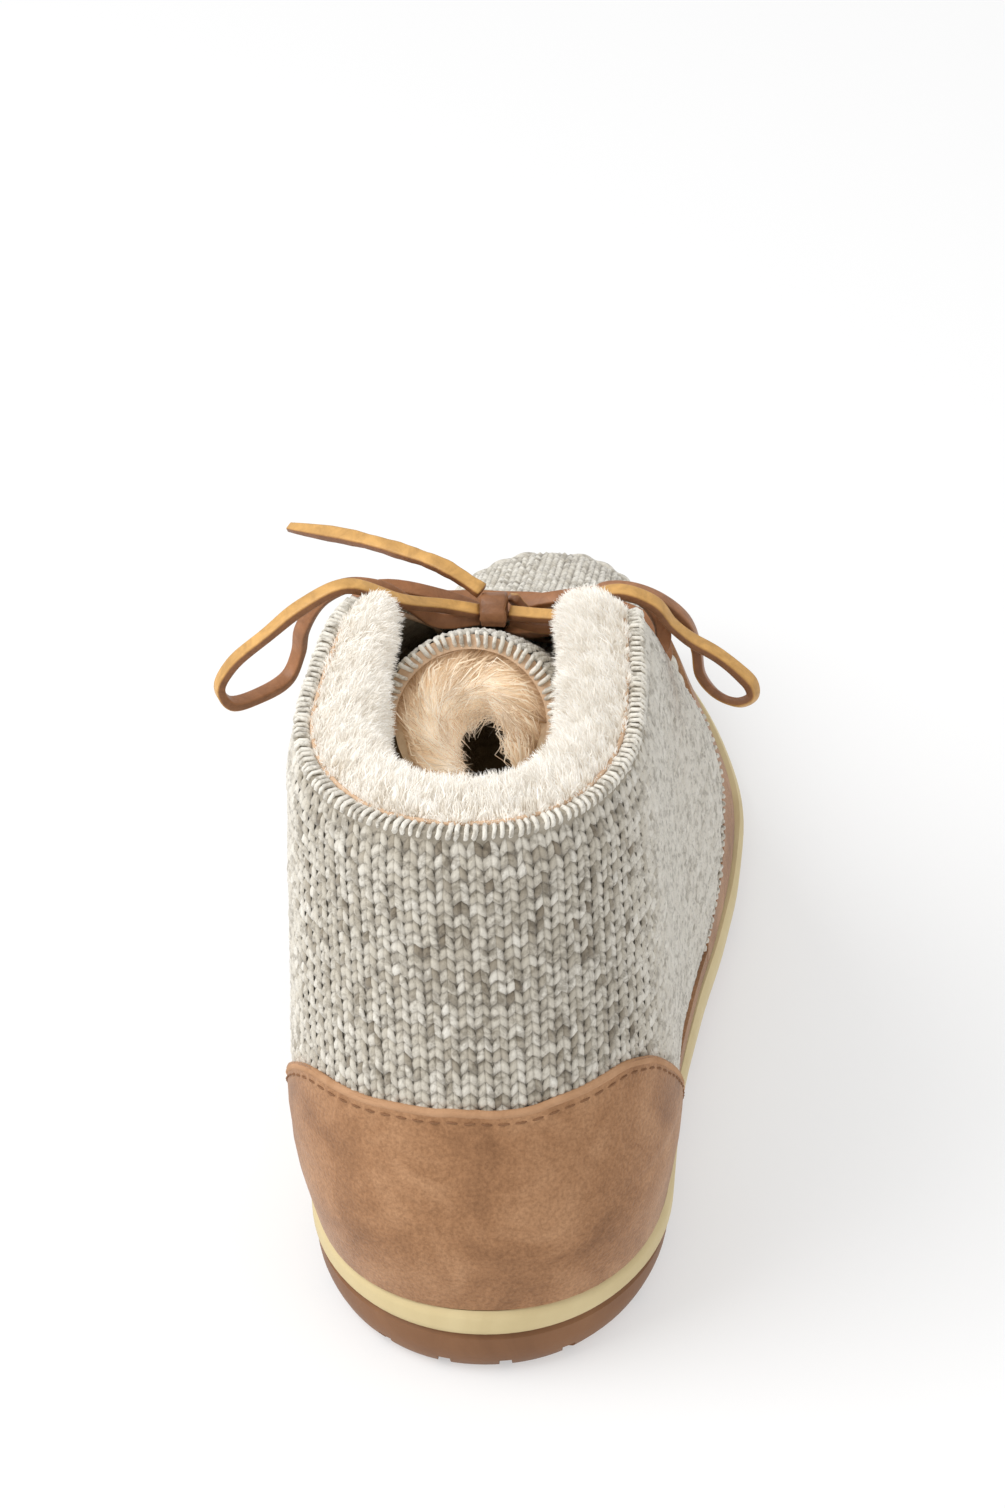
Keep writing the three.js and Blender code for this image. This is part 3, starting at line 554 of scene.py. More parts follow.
# a curve through the points, closer where they are close together
def curveThrough(points, perSpan):
    points = np.asarray(points, float)
    whole = np.vstack([2 * points[0] - points[1], points, 2 * points[-1] - points[-2]])
    out = []
    for k in range(1, len(whole) - 2):
        a, b, c, d = whole[k - 1:k + 3]
        ta, tb, tc = (max(np.linalg.norm(q - p), 1e-4) ** 0.5 for p, q in ((a, b), (b, c), (c, d)))
        m1 = ((b - a) / ta - (c - a) / (ta + tb) + (c - b) / tb) * tb
        m2 = ((c - b) / tb - (d - b) / (tb + tc) + (d - c) / tc) * tb
        t = np.linspace(0, 1, perSpan, endpoint=False)[:, None]
        out.append((2 * t ** 3 - 3 * t ** 2 + 1) * b + (t ** 3 - 2 * t ** 2 + t) * m1
                   + (-2 * t ** 3 + 3 * t ** 2) * c + (t ** 3 - t ** 2) * m2)
    return np.vstack(out + [points[-1:]])


# frames carried along a path from a first upward direction
def carriedFrames(path, up):
    tangents = unit(np.gradient(path, axis=0))
    normal = np.asarray(up, float)
    normals = []
    for t in tangents:
        normal = normal - t * (normal @ t)
        normal = normal / np.linalg.norm(normal)
        normals.append(normal)
    normals = np.array(normals)
    return tangents, normals, np.cross(tangents, normals)


# a leather thong with rounded corners along a path, its smooth side upwards at the start; its colour value runs
# from the under side to the upper side, with painted shade on its edges
def thong(name, path, up, width, taper=0.0):
    tangents, normals, sides = carriedFrames(path, up)
    w, t, c = width / 2, laceSize["thick"] / 2, laceSize["corner"]
    outline, tone = [], []
    for cx, cy, start in ((w - c, t - c, 0), (c - w, t - c, 90), (c - w, c - t, 180), (w - c, c - t, 270)):
        for a in np.radians((start, start + 45, start + 90)):
            outline.append((cx + c * math.cos(a), cy + c * math.sin(a)))
            tone.append(0.5 + 0.5 * math.sin(a))
    outline = np.array(outline)
    count, ring = len(path), len(outline)
    share = np.linspace(0, 1, count)
    wobble = 1 + 0.05 * np.sin(share * 23 + len(name)) + 0.03 * np.sin(share * 61)
    grow = wobble * (1 - taper * np.clip((share - 0.9) / 0.1, 0, 1))
    points = (path[:, None] + sides[:, None] * outline[:, 0, None][None] * grow[:, None, None]
              + normals[:, None] * outline[:, 1, None][None] * grow[:, None, None])
    # the knot is drawn only in tones from the reddish under side to the painted shade of the edges
    faceAndShade = np.broadcast_to(np.array(tone), (count, ring)) * (0.45 if "knot" in name else 1)
    k, i = np.meshgrid(np.arange(count - 1), np.arange(ring), indexing="ij")
    j = (i + 1) % ring
    quads = np.stack([k * ring + i, k * ring + j, (k + 1) * ring + j, (k + 1) * ring + i], -1).reshape(-1, 4)
    ends = path[:1] - tangents[:1] * 0.2, path[-1:] + tangents[-1:] * 0.2
    points = np.vstack([points.reshape(-1, 3), *ends])
    low, high, last = count * ring, count * ring + 1, (count - 1) * ring
    i = np.arange(0, ring, 2)
    j = (i + 2) % ring
    caps = np.concatenate([np.stack([np.full_like(i, low), j, i + 1, i], -1),
                           np.stack([np.full_like(i, high), last + i, last + i + 1, last + j], -1)])
    # the capped ends take the edge tone, painted shade
    values = dict(faceAndShade=np.append(faceAndShade.ravel(), (0.45, 0.45)))
    return turnFaces(pieceFrom(name, points, np.vstack([quads, caps]), values))


laceUp = dict(lace_knot=(0, -0.6, -0.8), lace_loop_left=(0, -0.25, 1), lace_loop_right=(0, -0.25, 1),
              lace_end_left=(0, -0.4, 1), lace_end_right=(0, 0.5, 1))
lacePieces, lacePaths = {}, {}
for name, route in laceRoutes.items():
    path = curveThrough(routePoints(route), laceSize["perSpan"])
    taper = 0.35 if "end" in name else 0.0
    width = laceSize["knot"] if name == "lace_knot" else laceSize["width"]
    made = thong(name + "_leather", path, laceUp[name], width, taper)
    lacePieces[name], lacePaths[name] = finishPiece(made, leather, "lace", name), path
for name in ("lace_loop_left", "lace_loop_right", "lace_end_left", "lace_end_right"):
    path = lacePaths[name]
print("camera and lace ready")


def spread(low, high, count):
    return low + (high - low) * (1 - np.cos(np.pi * np.arange(count + 1) / count)) / 2


# faces of loops stacked upwards, closed by strips across the first and the last
def stackFaces(count, size):
    k, i = np.meshgrid(np.arange(count - 1), np.arange(size), indexing="ij")
    j = (i + 1) % size
    sides = np.stack([k * size + i, k * size + j, (k + 1) * size + j, (k + 1) * size + i], -1).reshape(-1, 4)
    top, half, caps = (count - 1) * size, size // 2, []
    for n in range(half):
        here, ahead, back, last = n % size, (n + 1) % size, -n % size, (-n - 1) % size
        if n > 0:
            caps += [(top + here, top + ahead, top + back), (here, back, ahead)]
        if n + 1 < half:
            caps += [(top + back, top + ahead, top + last), (back, last, ahead)]
    return [sides, np.array(caps)]


formMesh = dict(levels=66, perSide=60)


# the foot form grown by a distance, or by a function of its points
def formBody(name, distance):
    heights = np.interp(np.linspace(0, 19, formMesh["levels"]), np.arange(20), sections[:, 0])
    loops = []
    for z in heights:
        ys = spread(backAt(z), frontAt(z), formMesh["perSide"])
        outer, outerOut, inner, innerOut = bothSides(ys, z)
        outer = outer + outerOut * growth(distance, outer)
        inner = inner + innerOut * growth(distance, inner)
        loops.append(np.vstack([outer, inner[-2:0:-1]]))
    loops = np.array(loops)
    return pieceFrom(name, loops.reshape(-1, 3), stackFaces(*loops.shape[:2]))


def growth(distance, points):
    return distance(points)[:, None] if callable(distance) else distance


# a prism across the boot from an outline of ahead and height, or lengthwise from one of side and height
def acrossBoot(name, outline, first=-90, last=90, lengthwise=False):
    n = len(outline)
    points = np.array([(x, y, z) for x in (first, last) for y, z in outline], float)
    if lengthwise:
        points = points[:, (1, 0, 2)]
    sides = [(i, (i + 1) % n, n + (i + 1) % n, n + i) for i in range(n)]
    return turnFaces(plainBody(name, points, [tuple(range(n))[::-1], tuple(range(n, 2 * n))] + sides))


def edgePoints(table, first, last, steps, lift=0.0, column=1):
    ys = np.linspace(first, last, steps + 1)
    return np.stack([ys, read(table, column, ys + halfLength) + lift], -1)


def footPoints(first, last, steps, lift):
    ys = np.linspace(first, last, steps + 1)
    return np.stack([ys, footAt(ys) + lift], -1)


farBack, farFront, farUp = -halfLength - 9, halfLength + 9, 160
throatY = topline[-1, 0] - halfLength
quarterLine = np.stack([quarterEdge[:, 0] - halfLength, quarterEdge[:, 1]], -1)


def quarterPrism(name, ahead=0.0):
    line = quarterLine + (ahead, 0)
    return acrossBoot(name, [(farBack, -5), (line[0, 0], -5), *line[1:], (line[-1, 0], farUp),
                             (farBack, farUp)])


def upperPrism(name):
    return acrossBoot(name, [*footPoints(farBack, farFront, 60, boot["gap"]), (farFront, farUp),
                             (throatY, farUp), *edgePoints(topline, throatY, farBack, 90)])


# a layer on the form between two distances, kept where the region is
def layerOn(name, inside, outside, region):
    made = formBody(name, outside)
    cutWith(made, formBody("inside", inside))
    return cutWith(made, region, "INTERSECT")


# sole: loops of the outline set in by the steps of the side
soleLook = dict(stations=90, rows=11, grooveWidth=3.6, grooveDepth=3, chevron=5, reach=62,
                groovesAlong=(.1, .17, .24, .31, .58, .645, .71, .775, .84, .905),
                notchWidth=2.4, notchLength=12, notchDepth=1.9, notchMiddle=0.8, notchPitch=11.5,
                notchOffset=-11.5, notchCount=4)
midsoleSide = np.array([(0, .9), (.22, .1), (.75, 0), (1, .9)])
outsoleSide = np.array([(0, 4), (.25, 2.1), (.6, 1), (.9, .8), (1, 1.6)])


def soleLoop(inset, share, lowAt, highAt):
    ys = spread(-halfLength, halfLength, soleLook["stations"])
    outer = np.stack([sideShift + swingAt(ys) + soleHalf(ys, 1), ys], -1)
    inner = np.stack([sideShift + swingAt(ys) - soleHalf(ys, -1), ys], -1)
    edge = np.vstack([outer, inner[-2:0:-1]])
    along = unit(np.roll(edge, -1, 0) - np.roll(edge, 1, 0))
    moved = edge + np.stack([-along[:, 1], along[:, 0]], -1) * inset
    low, high = lowAt(moved[:, 1]), highAt(moved[:, 1])
    return np.column_stack([moved, low + share * (high - low)])


def soleBody(name, side, lowAt, highAt):
    shares = np.linspace(0, 1, soleLook["rows"])
    insets = read(side, 1, shares)
    loops = np.array([soleLoop(inset, share, lowAt, highAt) for share, inset in zip(shares, insets)])
    return pieceFrom(name, loops.reshape(-1, 3), stackFaces(*loops.shape[:2]))


def midsoleBase(y):
    return footAt(y) - boot["midsoleThick"]


def outsoleTop(y):
    return midsoleBase(y) - boot["gap"]


def grooveBody(y):
    w, c, reach = soleLook["grooveWidth"] / 2, soleLook["chevron"], soleLook["reach"]
    low = float(treadAt(y)) - 5
    high = low + soleLook["grooveDepth"] + 5
    line = [(-reach, y - c), (0, y + c), (reach, y - c)]
    ring = [(x, v - w) for x, v in line] + [(x, v + w) for x, v in line[::-1]]
    points = [(x, v, z) for z in (low, high) for x, v in ring]
    sides = [(i, (i + 1) % 6, 6 + (i + 1) % 6, 6 + i) for i in range(6)]
    caps = [(0, 5, 4, 1), (1, 4, 3, 2), (6, 7, 10, 11), (7, 8, 9, 10)]
    return plainBody("groove", points, sides + caps)


def notchBody(x):
    back, low = -halfLength - 1, soleLook["notchMiddle"] - soleLook["notchDepth"]
    front, high = back + soleLook["notchLength"], soleLook["notchMiddle"] + soleLook["notchDepth"]
    half = soleLook["notchWidth"] / 2
    return acrossBoot("notch", [(back, low), (front, low), (front, high), (back, high)], x - half, x + half)


midsole = soleBody("midsole_band", midsoleSide, midsoleBase, footAt)
finishPiece(midsole, cream, "midsole_cream", "midsole", smoothAngle=35)
outsole = soleBody("outsole_tread", outsoleSide, treadAt, outsoleTop)
for share in soleLook["groovesAlong"]:
    cutWith(outsole, grooveBody((share - 0.5) * boot["soleLength"]))
for i in range(soleLook["notchCount"]):
    cutWith(outsole, notchBody(sideShift + soleLook["notchOffset"] + (i - 0.5) * soleLook["notchPitch"]))
finishPiece(outsole, gum, "outsole_rubber", "outsole", smoothAngle=35)
print("sole ready")

# upper: vamp with the quarter lapped over it, hollow, with four eyelets
eyelets = dict(lower=(110, 90.5), upper=(96.5, 101))


def surfaceAt(ahead, up, side):
    at = formPoint(ahead - halfLength, up, side)
    return at, outward(at, np.asarray(float(side)))


def pinThrough(at, out, radius, length):
    bpy.ops.object.select_all(action="DESELECT")
    turned = Vector(out).to_track_quat("Z", "Y").to_euler()
    bpy.ops.mesh.primitive_cylinder_add(vertices=24, radius=radius / 1000, depth=length / 1000,
                                        location=tuple(at / 1000), rotation=turned)
    bpy.ops.object.transform_apply(location=True, rotation=True, scale=True)
    return bpy.context.object


upper = formBody("knit_upper", 0)
rollLook = dict(height=9.0, depth=1.6)  # the knit thins towards its overlocked edge


def underTopline(p):
    return read(topline, 1, p[..., 1] + halfLength) - p[..., 2]


def lapAt(p):
    return boot["lap"] - rollLook["depth"] * smooth(1 - underTopline(p) / rollLook["height"])


quarter = cutWith(formBody("quarter", lapAt), quarterPrism("behind"), "INTERSECT")
cutWith(upper, quarter, "UNION")
cutWith(upper, formBody("hollow", -boot["wall"]))
cutWith(upper, upperPrism("between"), "INTERSECT")
for spot in eyelets.values():
    for side in (1, -1):
        cutWith(upper, pinThrough(*surfaceAt(*spot, side), boot["eyeletRadius"], 20))
finishPiece(upper, painted_shade_backing, "knit", "upper", smoothAngle=40)
print("upper ready", len(upper.data.polygons))

# suede overlays
counterFront = counterEdge[-1, 0] - halfLength
backSeam = sideShift + float(leanAt(60))


def counterRegion(name, column, first, last):
    edge = edgePoints(counterEdge, counterFront, farBack, 60, 0, column)
    return acrossBoot(name, [*footPoints(farBack, counterFront, 24, boot["gap"]), *edge], first, last)


counterInside = boot["lap"] + boot["gap"]
counterFace = counterInside + boot["suede"]
counterBody = counterRegion("outer_half", 1, backSeam, 90)
cutWith(counterBody, counterRegion("inner_half", 2, -90, backSeam), "UNION")
counter = layerOn("heel_counter_suede", counterInside, counterFace, counterBody)
finishPiece(counter, suede, "suede", "heel_counter", smoothAngle=40)


def apronHeight(y):
    return read(apronLine, 1, shareAlong(y))


apronY = -halfLength + apronStart * boot["soleLength"]
apronTop = np.linspace(farFront, apronY, 60)
apronEdge = np.stack([apronTop, apronHeight(apronTop) - boot["seamRadius"] - boot["gap"]], -1)
wallRegion = acrossBoot("wall_region", [*footPoints(apronY, farFront, 50, boot["gap"]), *apronEdge])
cutWith(wallRegion, quarterPrism("behind", 1.0))
wallLook = dict(flare=1.5, flareHeight=10, strip=0.1, stripHeight=4.6, stripFrom=66, stripTo=118)


# the suede is drawn out over the midsole's ledge at its foot
def flared(base):
    def grown(p):
        above = p[..., 2] - footAt(p[..., 1])
        return base + wallLook["flare"] * smooth(1 - above / wallLook["flareHeight"])
    return grown


toeWall = layerOn("toe_wall_suede", boot["gap"], flared(boot["gap"] + boot["suede"]), wallRegion)
finishPiece(toeWall, suede, "suede", "toe_wall", smoothAngle=40)
# a low strip of the same suede runs back along the quarter's foot to the counter
stripEnds = wallLook["stripFrom"] - halfLength, wallLook["stripTo"] - halfLength
stripRegion = acrossBoot("strip_region", [*footPoints(*stripEnds, 20, boot["gap"]),
                                          *footPoints(*stripEnds[::-1], 20, wallLook["stripHeight"])])
cutWith(stripRegion, quarterPrism("behind", 0.6), "INTERSECT")
stripFace = flared(counterInside + wallLook["strip"])
sideStrip = layerOn("side_strip_suede", boot["lap"] + 0.1, stripFace, stripRegion)
finishPiece(sideStrip, suede, "suede", "toe_wall", smoothAngle=40)
print("suede ready")


# tubes along many short paths at once: paths (n, k, 3), radii (n, k); a ring is closed on itself
def tubes(paths, radii, sides=6, out=None, ring=False):
    n, k = paths.shape[:2]
    tangent = unit(np.gradient(paths, axis=1))
    if ring:
        tangent = unit(np.roll(paths, -1, 1) - np.roll(paths, 1, 1))
    if out is None:
        bow = paths[:, k // 2] - (paths[:, 0] + paths[:, -1]) / 2 + 1e-6
        out = np.cross(tangent, unit(np.cross(paths[:, -1] - paths[:, 0], bow))[:, None])
    first = unit(out - tangent * (out * tangent).sum(-1, keepdims=True))
    second = np.cross(tangent, first)
    a = np.arange(sides) * 2 * np.pi / sides
    around = first[:, :, None] * np.cos(a)[:, None] + second[:, :, None] * np.sin(a)[:, None]
    points = paths[:, :, None] + around * radii[:, :, None, None]
    size = k * sides
    r, i = np.meshgrid(np.arange(k if ring else k - 1), np.arange(sides), indexing="ij")
    j, after = (i + 1) % sides, (r + 1) % k
    quad = np.stack([r * sides + i, r * sides + j, after * sides + j, after * sides + i], -1).reshape(-1, 4)
    if not ring:
        end = (k - 1) * sides
        fan = [(0, c, c + 1, c + 2) for c in range(1, sides - 2, 2)]
        quad = np.vstack([quad, [f[::-1] for f in fan], [[end + c for c in f] for f in fan]])
    faces = (quad[None] + (np.arange(n) * size)[:, None, None]).reshape(-1, 4)
    return points.reshape(-1, 3), faces, np.repeat(np.arange(n), size)


# apron seam: a puckered roll round the toe
seamLook = dict(pitch=6.4, puckers=0.26, sunk=-0.3)


def apronRoute(count):
    end = float(frontAt(apronHeight(np.array(halfLength)))) - 0.05
    ys = spread(apronY - 60, end, count)
    ys = ys[ys >= apronY + 4]
    ys = ys[ys > quarterLine[1, 0] + 4]
    z = apronHeight(ys)
    ys = np.minimum(ys, frontAt(z))
    outer, outerOut, inner, innerOut = bothSides(ys, z)
    return np.vstack([outer, inner[-2::-1]]), np.vstack([outerOut, innerOut[-2::-1]])


# a route's points and facings again, at even steps
def evenly(points, normals, step):
    run = runOf(points)
    at = np.linspace(0, run[-1], max(2, int(round(run[-1] / step)) + 1))
    return pickAlong(at, run, points), unit(pickAlong(at, run, normals)), at


seamPath, seamOut, seamAt = evenly(*apronRoute(160), 0.8)
pucker = 1 - seamLook["puckers"] * np.abs(np.cos(np.pi * seamAt / seamLook["pitch"])) ** 3
seamLine = seamPath + seamOut * seamLook["sunk"]
seamPoints, seamFaces, _ = tubes(seamLine[None], (boot["seamRadius"] * pucker)[None], 10, seamOut[None])
seamValues = dict(tint=0.55 + 0.2 * dice.random(len(seamPoints)), depth=np.full(len(seamPoints), 0.9))
apronSeam = pieceFrom("apron_seam_roll", seamPoints, seamFaces, seamValues)
finishPiece(apronSeam, yarn, "knit", "apron_seam")

# heel counter: a turned edge, and a row of stitches under it
rimLook = dict(radius=0.85, proud=0.2, below=2.2, stitch=2.4, gap=0.5, thread=0.21)


def counterRoute(below):
    halves = []
    for side, column in ((1, 1), (-1, 2)):
        back = float(backAt(59.5 - below))
        ys = spread(back + 0.02, 2 * counterFront - back, 400)[:200]
        z = read(counterEdge, column, ys + halfLength) - below
        z = np.where(ys < back + 4, 60 - below + (z - 60 + below) * smooth((ys - back) / 4), z)
        keep = (ys > backAt(z)) & (z > footAt(ys) + 1.2)
        at = formPoint(ys[keep], z[keep], side)
        halves.append((at, outward(at, np.full(len(at), float(side)))))
    (outer, outerOut), (inner, innerOut) = halves
    return np.vstack([outer[::-1], inner[1:]]), np.vstack([outerOut[::-1], innerOut[1:]])


rimLine, rimFacing, _ = evenly(*counterRoute(0.5), 1.2)
rimLine = rimLine + rimFacing * (counterFace - rimLook["radius"] + rimLook["proud"])
rimPoints, rimFaces, _ = tubes(rimLine[None], np.full((1, len(rimLine)), rimLook["radius"]), 8, rimFacing[None])
counterRim = pieceFrom("heel_counter_rim", rimPoints, rimFaces)
finishPiece(counterRim, suedeEdgeHighlight, "suede", "heel_counter")
rowLine, rowFacing, rowRun = evenly(*counterRoute(rimLook["below"]), 0.25)
starts = np.arange(1.0, rowRun[-1] - 4, rimLook["stitch"] + rimLook["gap"])
where = starts[:, None] + np.linspace(0, rimLook["stitch"], 5)[None]
sunk = counterFace + np.array([-.35, 0.02, 0.1, 0.02, -.35])
stitchLine, stitchOut = pickAlong(where, rowRun, rowLine), unit(pickAlong(where, rowRun, rowFacing))
stitchPoints, stitchFaces, _ = tubes(stitchLine + stitchOut * sunk[None, :, None],
                                     np.full(where.shape, rimLook["thread"]), 6, stitchOut)
counterStitches = pieceFrom("heel_counter_stitches", stitchPoints, stitchFaces)
finishPiece(counterStitches, thread, "suede", "heel_counter")
print("counter edge ready")


def bilinear(grid, k, i):
    k0, i0 = k.astype(int), i.astype(int)
    down, right = (k - k0)[..., None], (i - i0)[..., None]
    return ((grid[k0, i0] * (1 - right) + grid[k0, i0 + 1] * right) * (1 - down)
            + (grid[k0 + 1, i0] * (1 - right) + grid[k0 + 1, i0 + 1] * right) * down)


# points of the form by the way round each of its sections, plus on the outer side
class formGrid:
    step = 0.5

    def __init__(self, rows, reach, first=0.0):
        self.reach, self.first = reach, first
        at = np.arange(0, reach + self.step, self.step)
        lines = []
        for y, z in rows:
            inner, outer = formPoint(y, z, -1), formPoint(y, z, 1)
            inner, outer = pickAlong(at, runOf(inner), inner), pickAlong(at, runOf(outer), outer)
            lines.append(np.vstack([inner[:0:-1], outer]))
        self.points = np.array(lines)

    def at(self, s, t):
        i = np.clip((s + self.reach) / self.step, 0, self.points.shape[1] - 1.001)
        k = np.clip((t - self.first) / self.step, 0, self.points.shape[0] - 1.001)
        p = bilinear(self.points, k, i)
        return p, outward(p, np.where(s >= 0, 1.0, -1.0))


def vampSection(y):
    top, foot = float(ridgeAt(y)), float(footAt(y)) + 1
    return y, top - (top - foot) * np.linspace(0, 1, 260) ** 2.2


# level sections by height, and cross sections of the forefoot by the way along its ridge
lowest = 8.0
levelHeights = np.arange(lowest, 126, formGrid.step)
levels = formGrid([(spread(backAt(z), frontAt(z), 240), z) for z in levelHeights], 230, lowest)
ridgeY = np.arange(-25, halfLength - 4, 0.25)
ridgeRun = runOf(np.stack([ridgeY, ridgeAt(ridgeY)], -1))
vampAlong = np.arange(0, ridgeRun[-1], formGrid.step)
vamp = formGrid([vampSection(y) for y in np.interp(vampAlong, ridgeRun, ridgeY)], 110)

knitLook = dict(wale=2.8, course=2.3, rise=0.85, sink=0.45, legWidth=0.27, overlap=1.5, jitter=0.09)


# wales across and courses along
def stitchSpots(wales, first, last):
    across = np.arange(-wales, wales + 1) * knitLook["wale"]
    s, t = np.meshgrid(across, np.arange(first, last, knitLook["course"]))
    return np.stack([s.ravel(), t.ravel()], -1)


def sideShare(s):  # on the sides the stitches are lower and more even, their yarn is painted paler and their painted shade is less, a painted lift against the shade there
    return smooth((np.abs(s) - 28) / 30)


def marl(legs):
    aside = sideShare(legs[:, 0])
    # painted light: stitches on the sides are paler, and their marl more even
    base = 0.5 + 0.30 * aside + (0.22 - 0.15 * aside) * dice.standard_normal(len(legs))
    streak = 0.12 * np.sin(legs[:, 1] * 0.9 + 2.0 * np.sin(legs[:, 0] * 0.05))
    return np.clip(base + streak * dice.random(len(legs)), 0.02, 1)


def wobble(count, size):
    return knitLook["jitter"] * dice.standard_normal((count, 1)) * size


# two plump legs for every stitch; place(across, along) gives points and the way they face
def knitStitches(name, node, centres, place, lift, paler=0.0):
    wale, course = knitLook["wale"], knitLook["course"]
    legs = np.repeat(centres, 2, axis=0)
    n = len(legs)
    side = np.tile((-1.0, 1.0), len(centres))
    rows = np.array([0, .18, .42, .7, 1.0])
    lean = np.array([.06, .16, .28, .38, .43])
    plump = np.array([.45, .9, 1.0, .9, .4])
    swell = np.array([.1, .62, 1.0, .78, .18])
    width = knitLook["legWidth"] * wale * plump[None] * (1 + wobble(n, 1.0))
    across = side[:, None] * lean[None] * wale + wobble(n, 0.6)
    along = (-0.32 + knitLook["overlap"] * rows[None]) * course + wobble(n, 0.5)
    sideEven = sideShare(legs[:, :1])
    rise = (knitLook["rise"] * (1 - 0.5 * sideEven) * swell[None] * (1 + wobble(n, 1.0)))[:, :, None]
    columns = np.array([-1.0, 0.0, 1.0])
    a = legs[:, 0, None, None] + across[:, :, None] + width[:, :, None] * columns
    b = legs[:, 1, None, None] + along[:, :, None] - side[:, None, None] * width[:, :, None] * columns * 0.25
    up = np.where(columns == 0, rise, rise - knitLook["sink"] - 0.12 * plump[None, :, None])
    p, out = place(a, b)
    points = p + out * ((lift(p) if callable(lift) else lift) + up)[..., None]
    tint = np.clip(marl(legs) + paler, 0, 1)
    k, c = np.meshgrid(np.arange(4), np.arange(2), indexing="ij")
    quad = np.stack([k * 3 + c, k * 3 + c + 1, (k + 1) * 3 + c + 1, (k + 1) * 3 + c], -1).reshape(-1, 4)
    faces = (quad[None] + (np.arange(n) * 15)[:, None, None]).reshape(-1, 4)
    # painted shade: the sunk edges and thin ends of each leg get low depth values, which the yarn material
    # darkens; less so on the sides
    depth = np.where(columns == 0, 1.0, 0.35)[None, None] * (0.35 + 0.65 * swell[None, :, None])
    depth = depth + (1 - depth) * 0.8 * sideEven[..., None]
    values = dict(tint=np.repeat(tint, 15), depth=depth.ravel())
    return finishPiece(pieceFrom(name, points.reshape(-1, 3), faces, values), yarn, "knit", node)


def quarterAhead(z):
    return np.interp(z, quarterLine[:, 1], quarterLine[:, 0])


flatFrom = 0.6  # where the surface faces up this much, stitches follow the ridge instead of the levels


def clearOfEdge(p, out):
    return underTopline(p) > 0.1 + 2.9 * (1 - out[:, 2] ** 2)


def quarterCentres():
    spots = stitchSpots(70, 14.9, 119)
    s, z = spots.T
    p, out = levels.at(s, z)
    ahead = p[:, 1] + halfLength
    keep = clearOfEdge(p, out) & (p[:, 1] < quarterAhead(z) - 1.6) & (z > footAt(p[:, 1]) + 0.8)
    overCounter = np.where(s > 0, read(counterEdge, 1, ahead), read(counterEdge, 2, ahead)) - 2.5
    keep &= (z > overCounter) | (ahead > counterEdge[-1, 0])
    keep &= (np.abs(np.abs(s) - levels.reach) > 1) & (out[:, 2] < flatFrom)
    return spots[keep]


# where the vamp, the instep beside the throat and the throat's lower step have their stitches
vampSpots = stitchSpots(36, 3, vampAlong[-1] - 3)
vampAt, vampOut = vamp.at(*vampSpots.T)
pastQuarter = vampAt[:, 1] - quarterAhead(vampAt[:, 2])
overApron = vampAt[:, 2] - apronHeight(vampAt[:, 1])
overEdge = -underTopline(vampAt)
vampCentres = vampSpots[(pastQuarter > 0.6) & (overApron > 1.6)]
instepCentres = vampSpots[clearOfEdge(vampAt, vampOut) & (pastQuarter < -1.6) & (vampOut[:, 2] >= flatFrom)]
throatCentres = vampSpots[(overEdge > 0.15) & (overEdge < 2.7) & (pastQuarter < -1.0)]


def throatAt(s, t):
    p, out = vamp.at(s, t)
    p[..., 2] = np.minimum(p[..., 2], read(topline, 1, p[..., 1] + halfLength))
    return p, out


def overLap(p):
    return lapAt(p) + 0.05


quarterKnit = knitStitches("quarter_knit", "upper", quarterCentres(), levels.at, overLap)
vampKnit = knitStitches("vamp_knit", "upper", vampCentres, vamp.at, 0.05, paler=0.26)
knitStitches("instep_knit", "upper", instepCentres, vamp.at, overLap)
knitStitches("throat_knit", "upper", throatCentres, throatAt, 0.02)
print("knit ready", len(quarterKnit.data.polygons), len(vampKnit.data.polygons))

# overlocked edges: loops of yarn wrapped over an edge
wrapLook = dict(pitch=1.6, radius=0.46, slant=0.4)


def overlock(name, node, path, out, up, thick, reachOut, reachIn, tint):
    n = len(path)
    tangent = unit(np.gradient(path, axis=0))
    shape = np.array([(-reachOut, 0.05), (-reachOut * 0.55, 0.5), (-0.2, 0.45), (0.5, -0.1),
                      (0.5, -thick * 0.75), (-0.3, -thick - 0.25), (-reachIn, -thick)])
    k = len(shape)
    jog = dice.standard_normal((n, 1)) * 0.12
    slide = np.linspace(-1, 1, k)[None] * wrapLook["slant"] + jog
    paths = (path[:, None] + up[:, None] * shape[:, 0, None][None] + out[:, None] * shape[:, 1, None][None]
             + tangent[:, None] * slide[..., None])
    paths = paths + dice.standard_normal(paths.shape) * 0.07
    taper = np.array([.55, .95, 1, 1, 1, .9, .5])
    radii = wrapLook["radius"] * taper[None] * (1 + 0.1 * dice.standard_normal((n, 1)))
    points, faces, owner = tubes(paths, radii, 6)
    own = np.clip(tint + 0.16 * dice.standard_normal(n), 0.1, 1)
    made = pieceFrom(name, points, faces, dict(tint=own[owner], depth=np.full(len(points), 0.95)))
    return finishPiece(made, yarn, "knit", node)


def collarRoute():
    ys = np.arange(-halfLength + 5, throatY, 0.1)
    low = read(topline, 1, ys + halfLength)
    throat = ys[np.nonzero(ridgeAt(ys) > low)[0][-1]]
    back = float(backAt(115.5)) + 0.02
    ys = spread(back, throat - 0.05, 400)
    z = np.minimum(read(topline, 1, ys + halfLength), ridgeAt(ys) - 0.05)
    outer, outerOut, inner, innerOut = bothSides(ys, z)
    return (np.vstack([outer, inner[-2:0:-1], outer[:1]]),
            np.vstack([outerOut, innerOut[-2:0:-1], outerOut[:1]]))


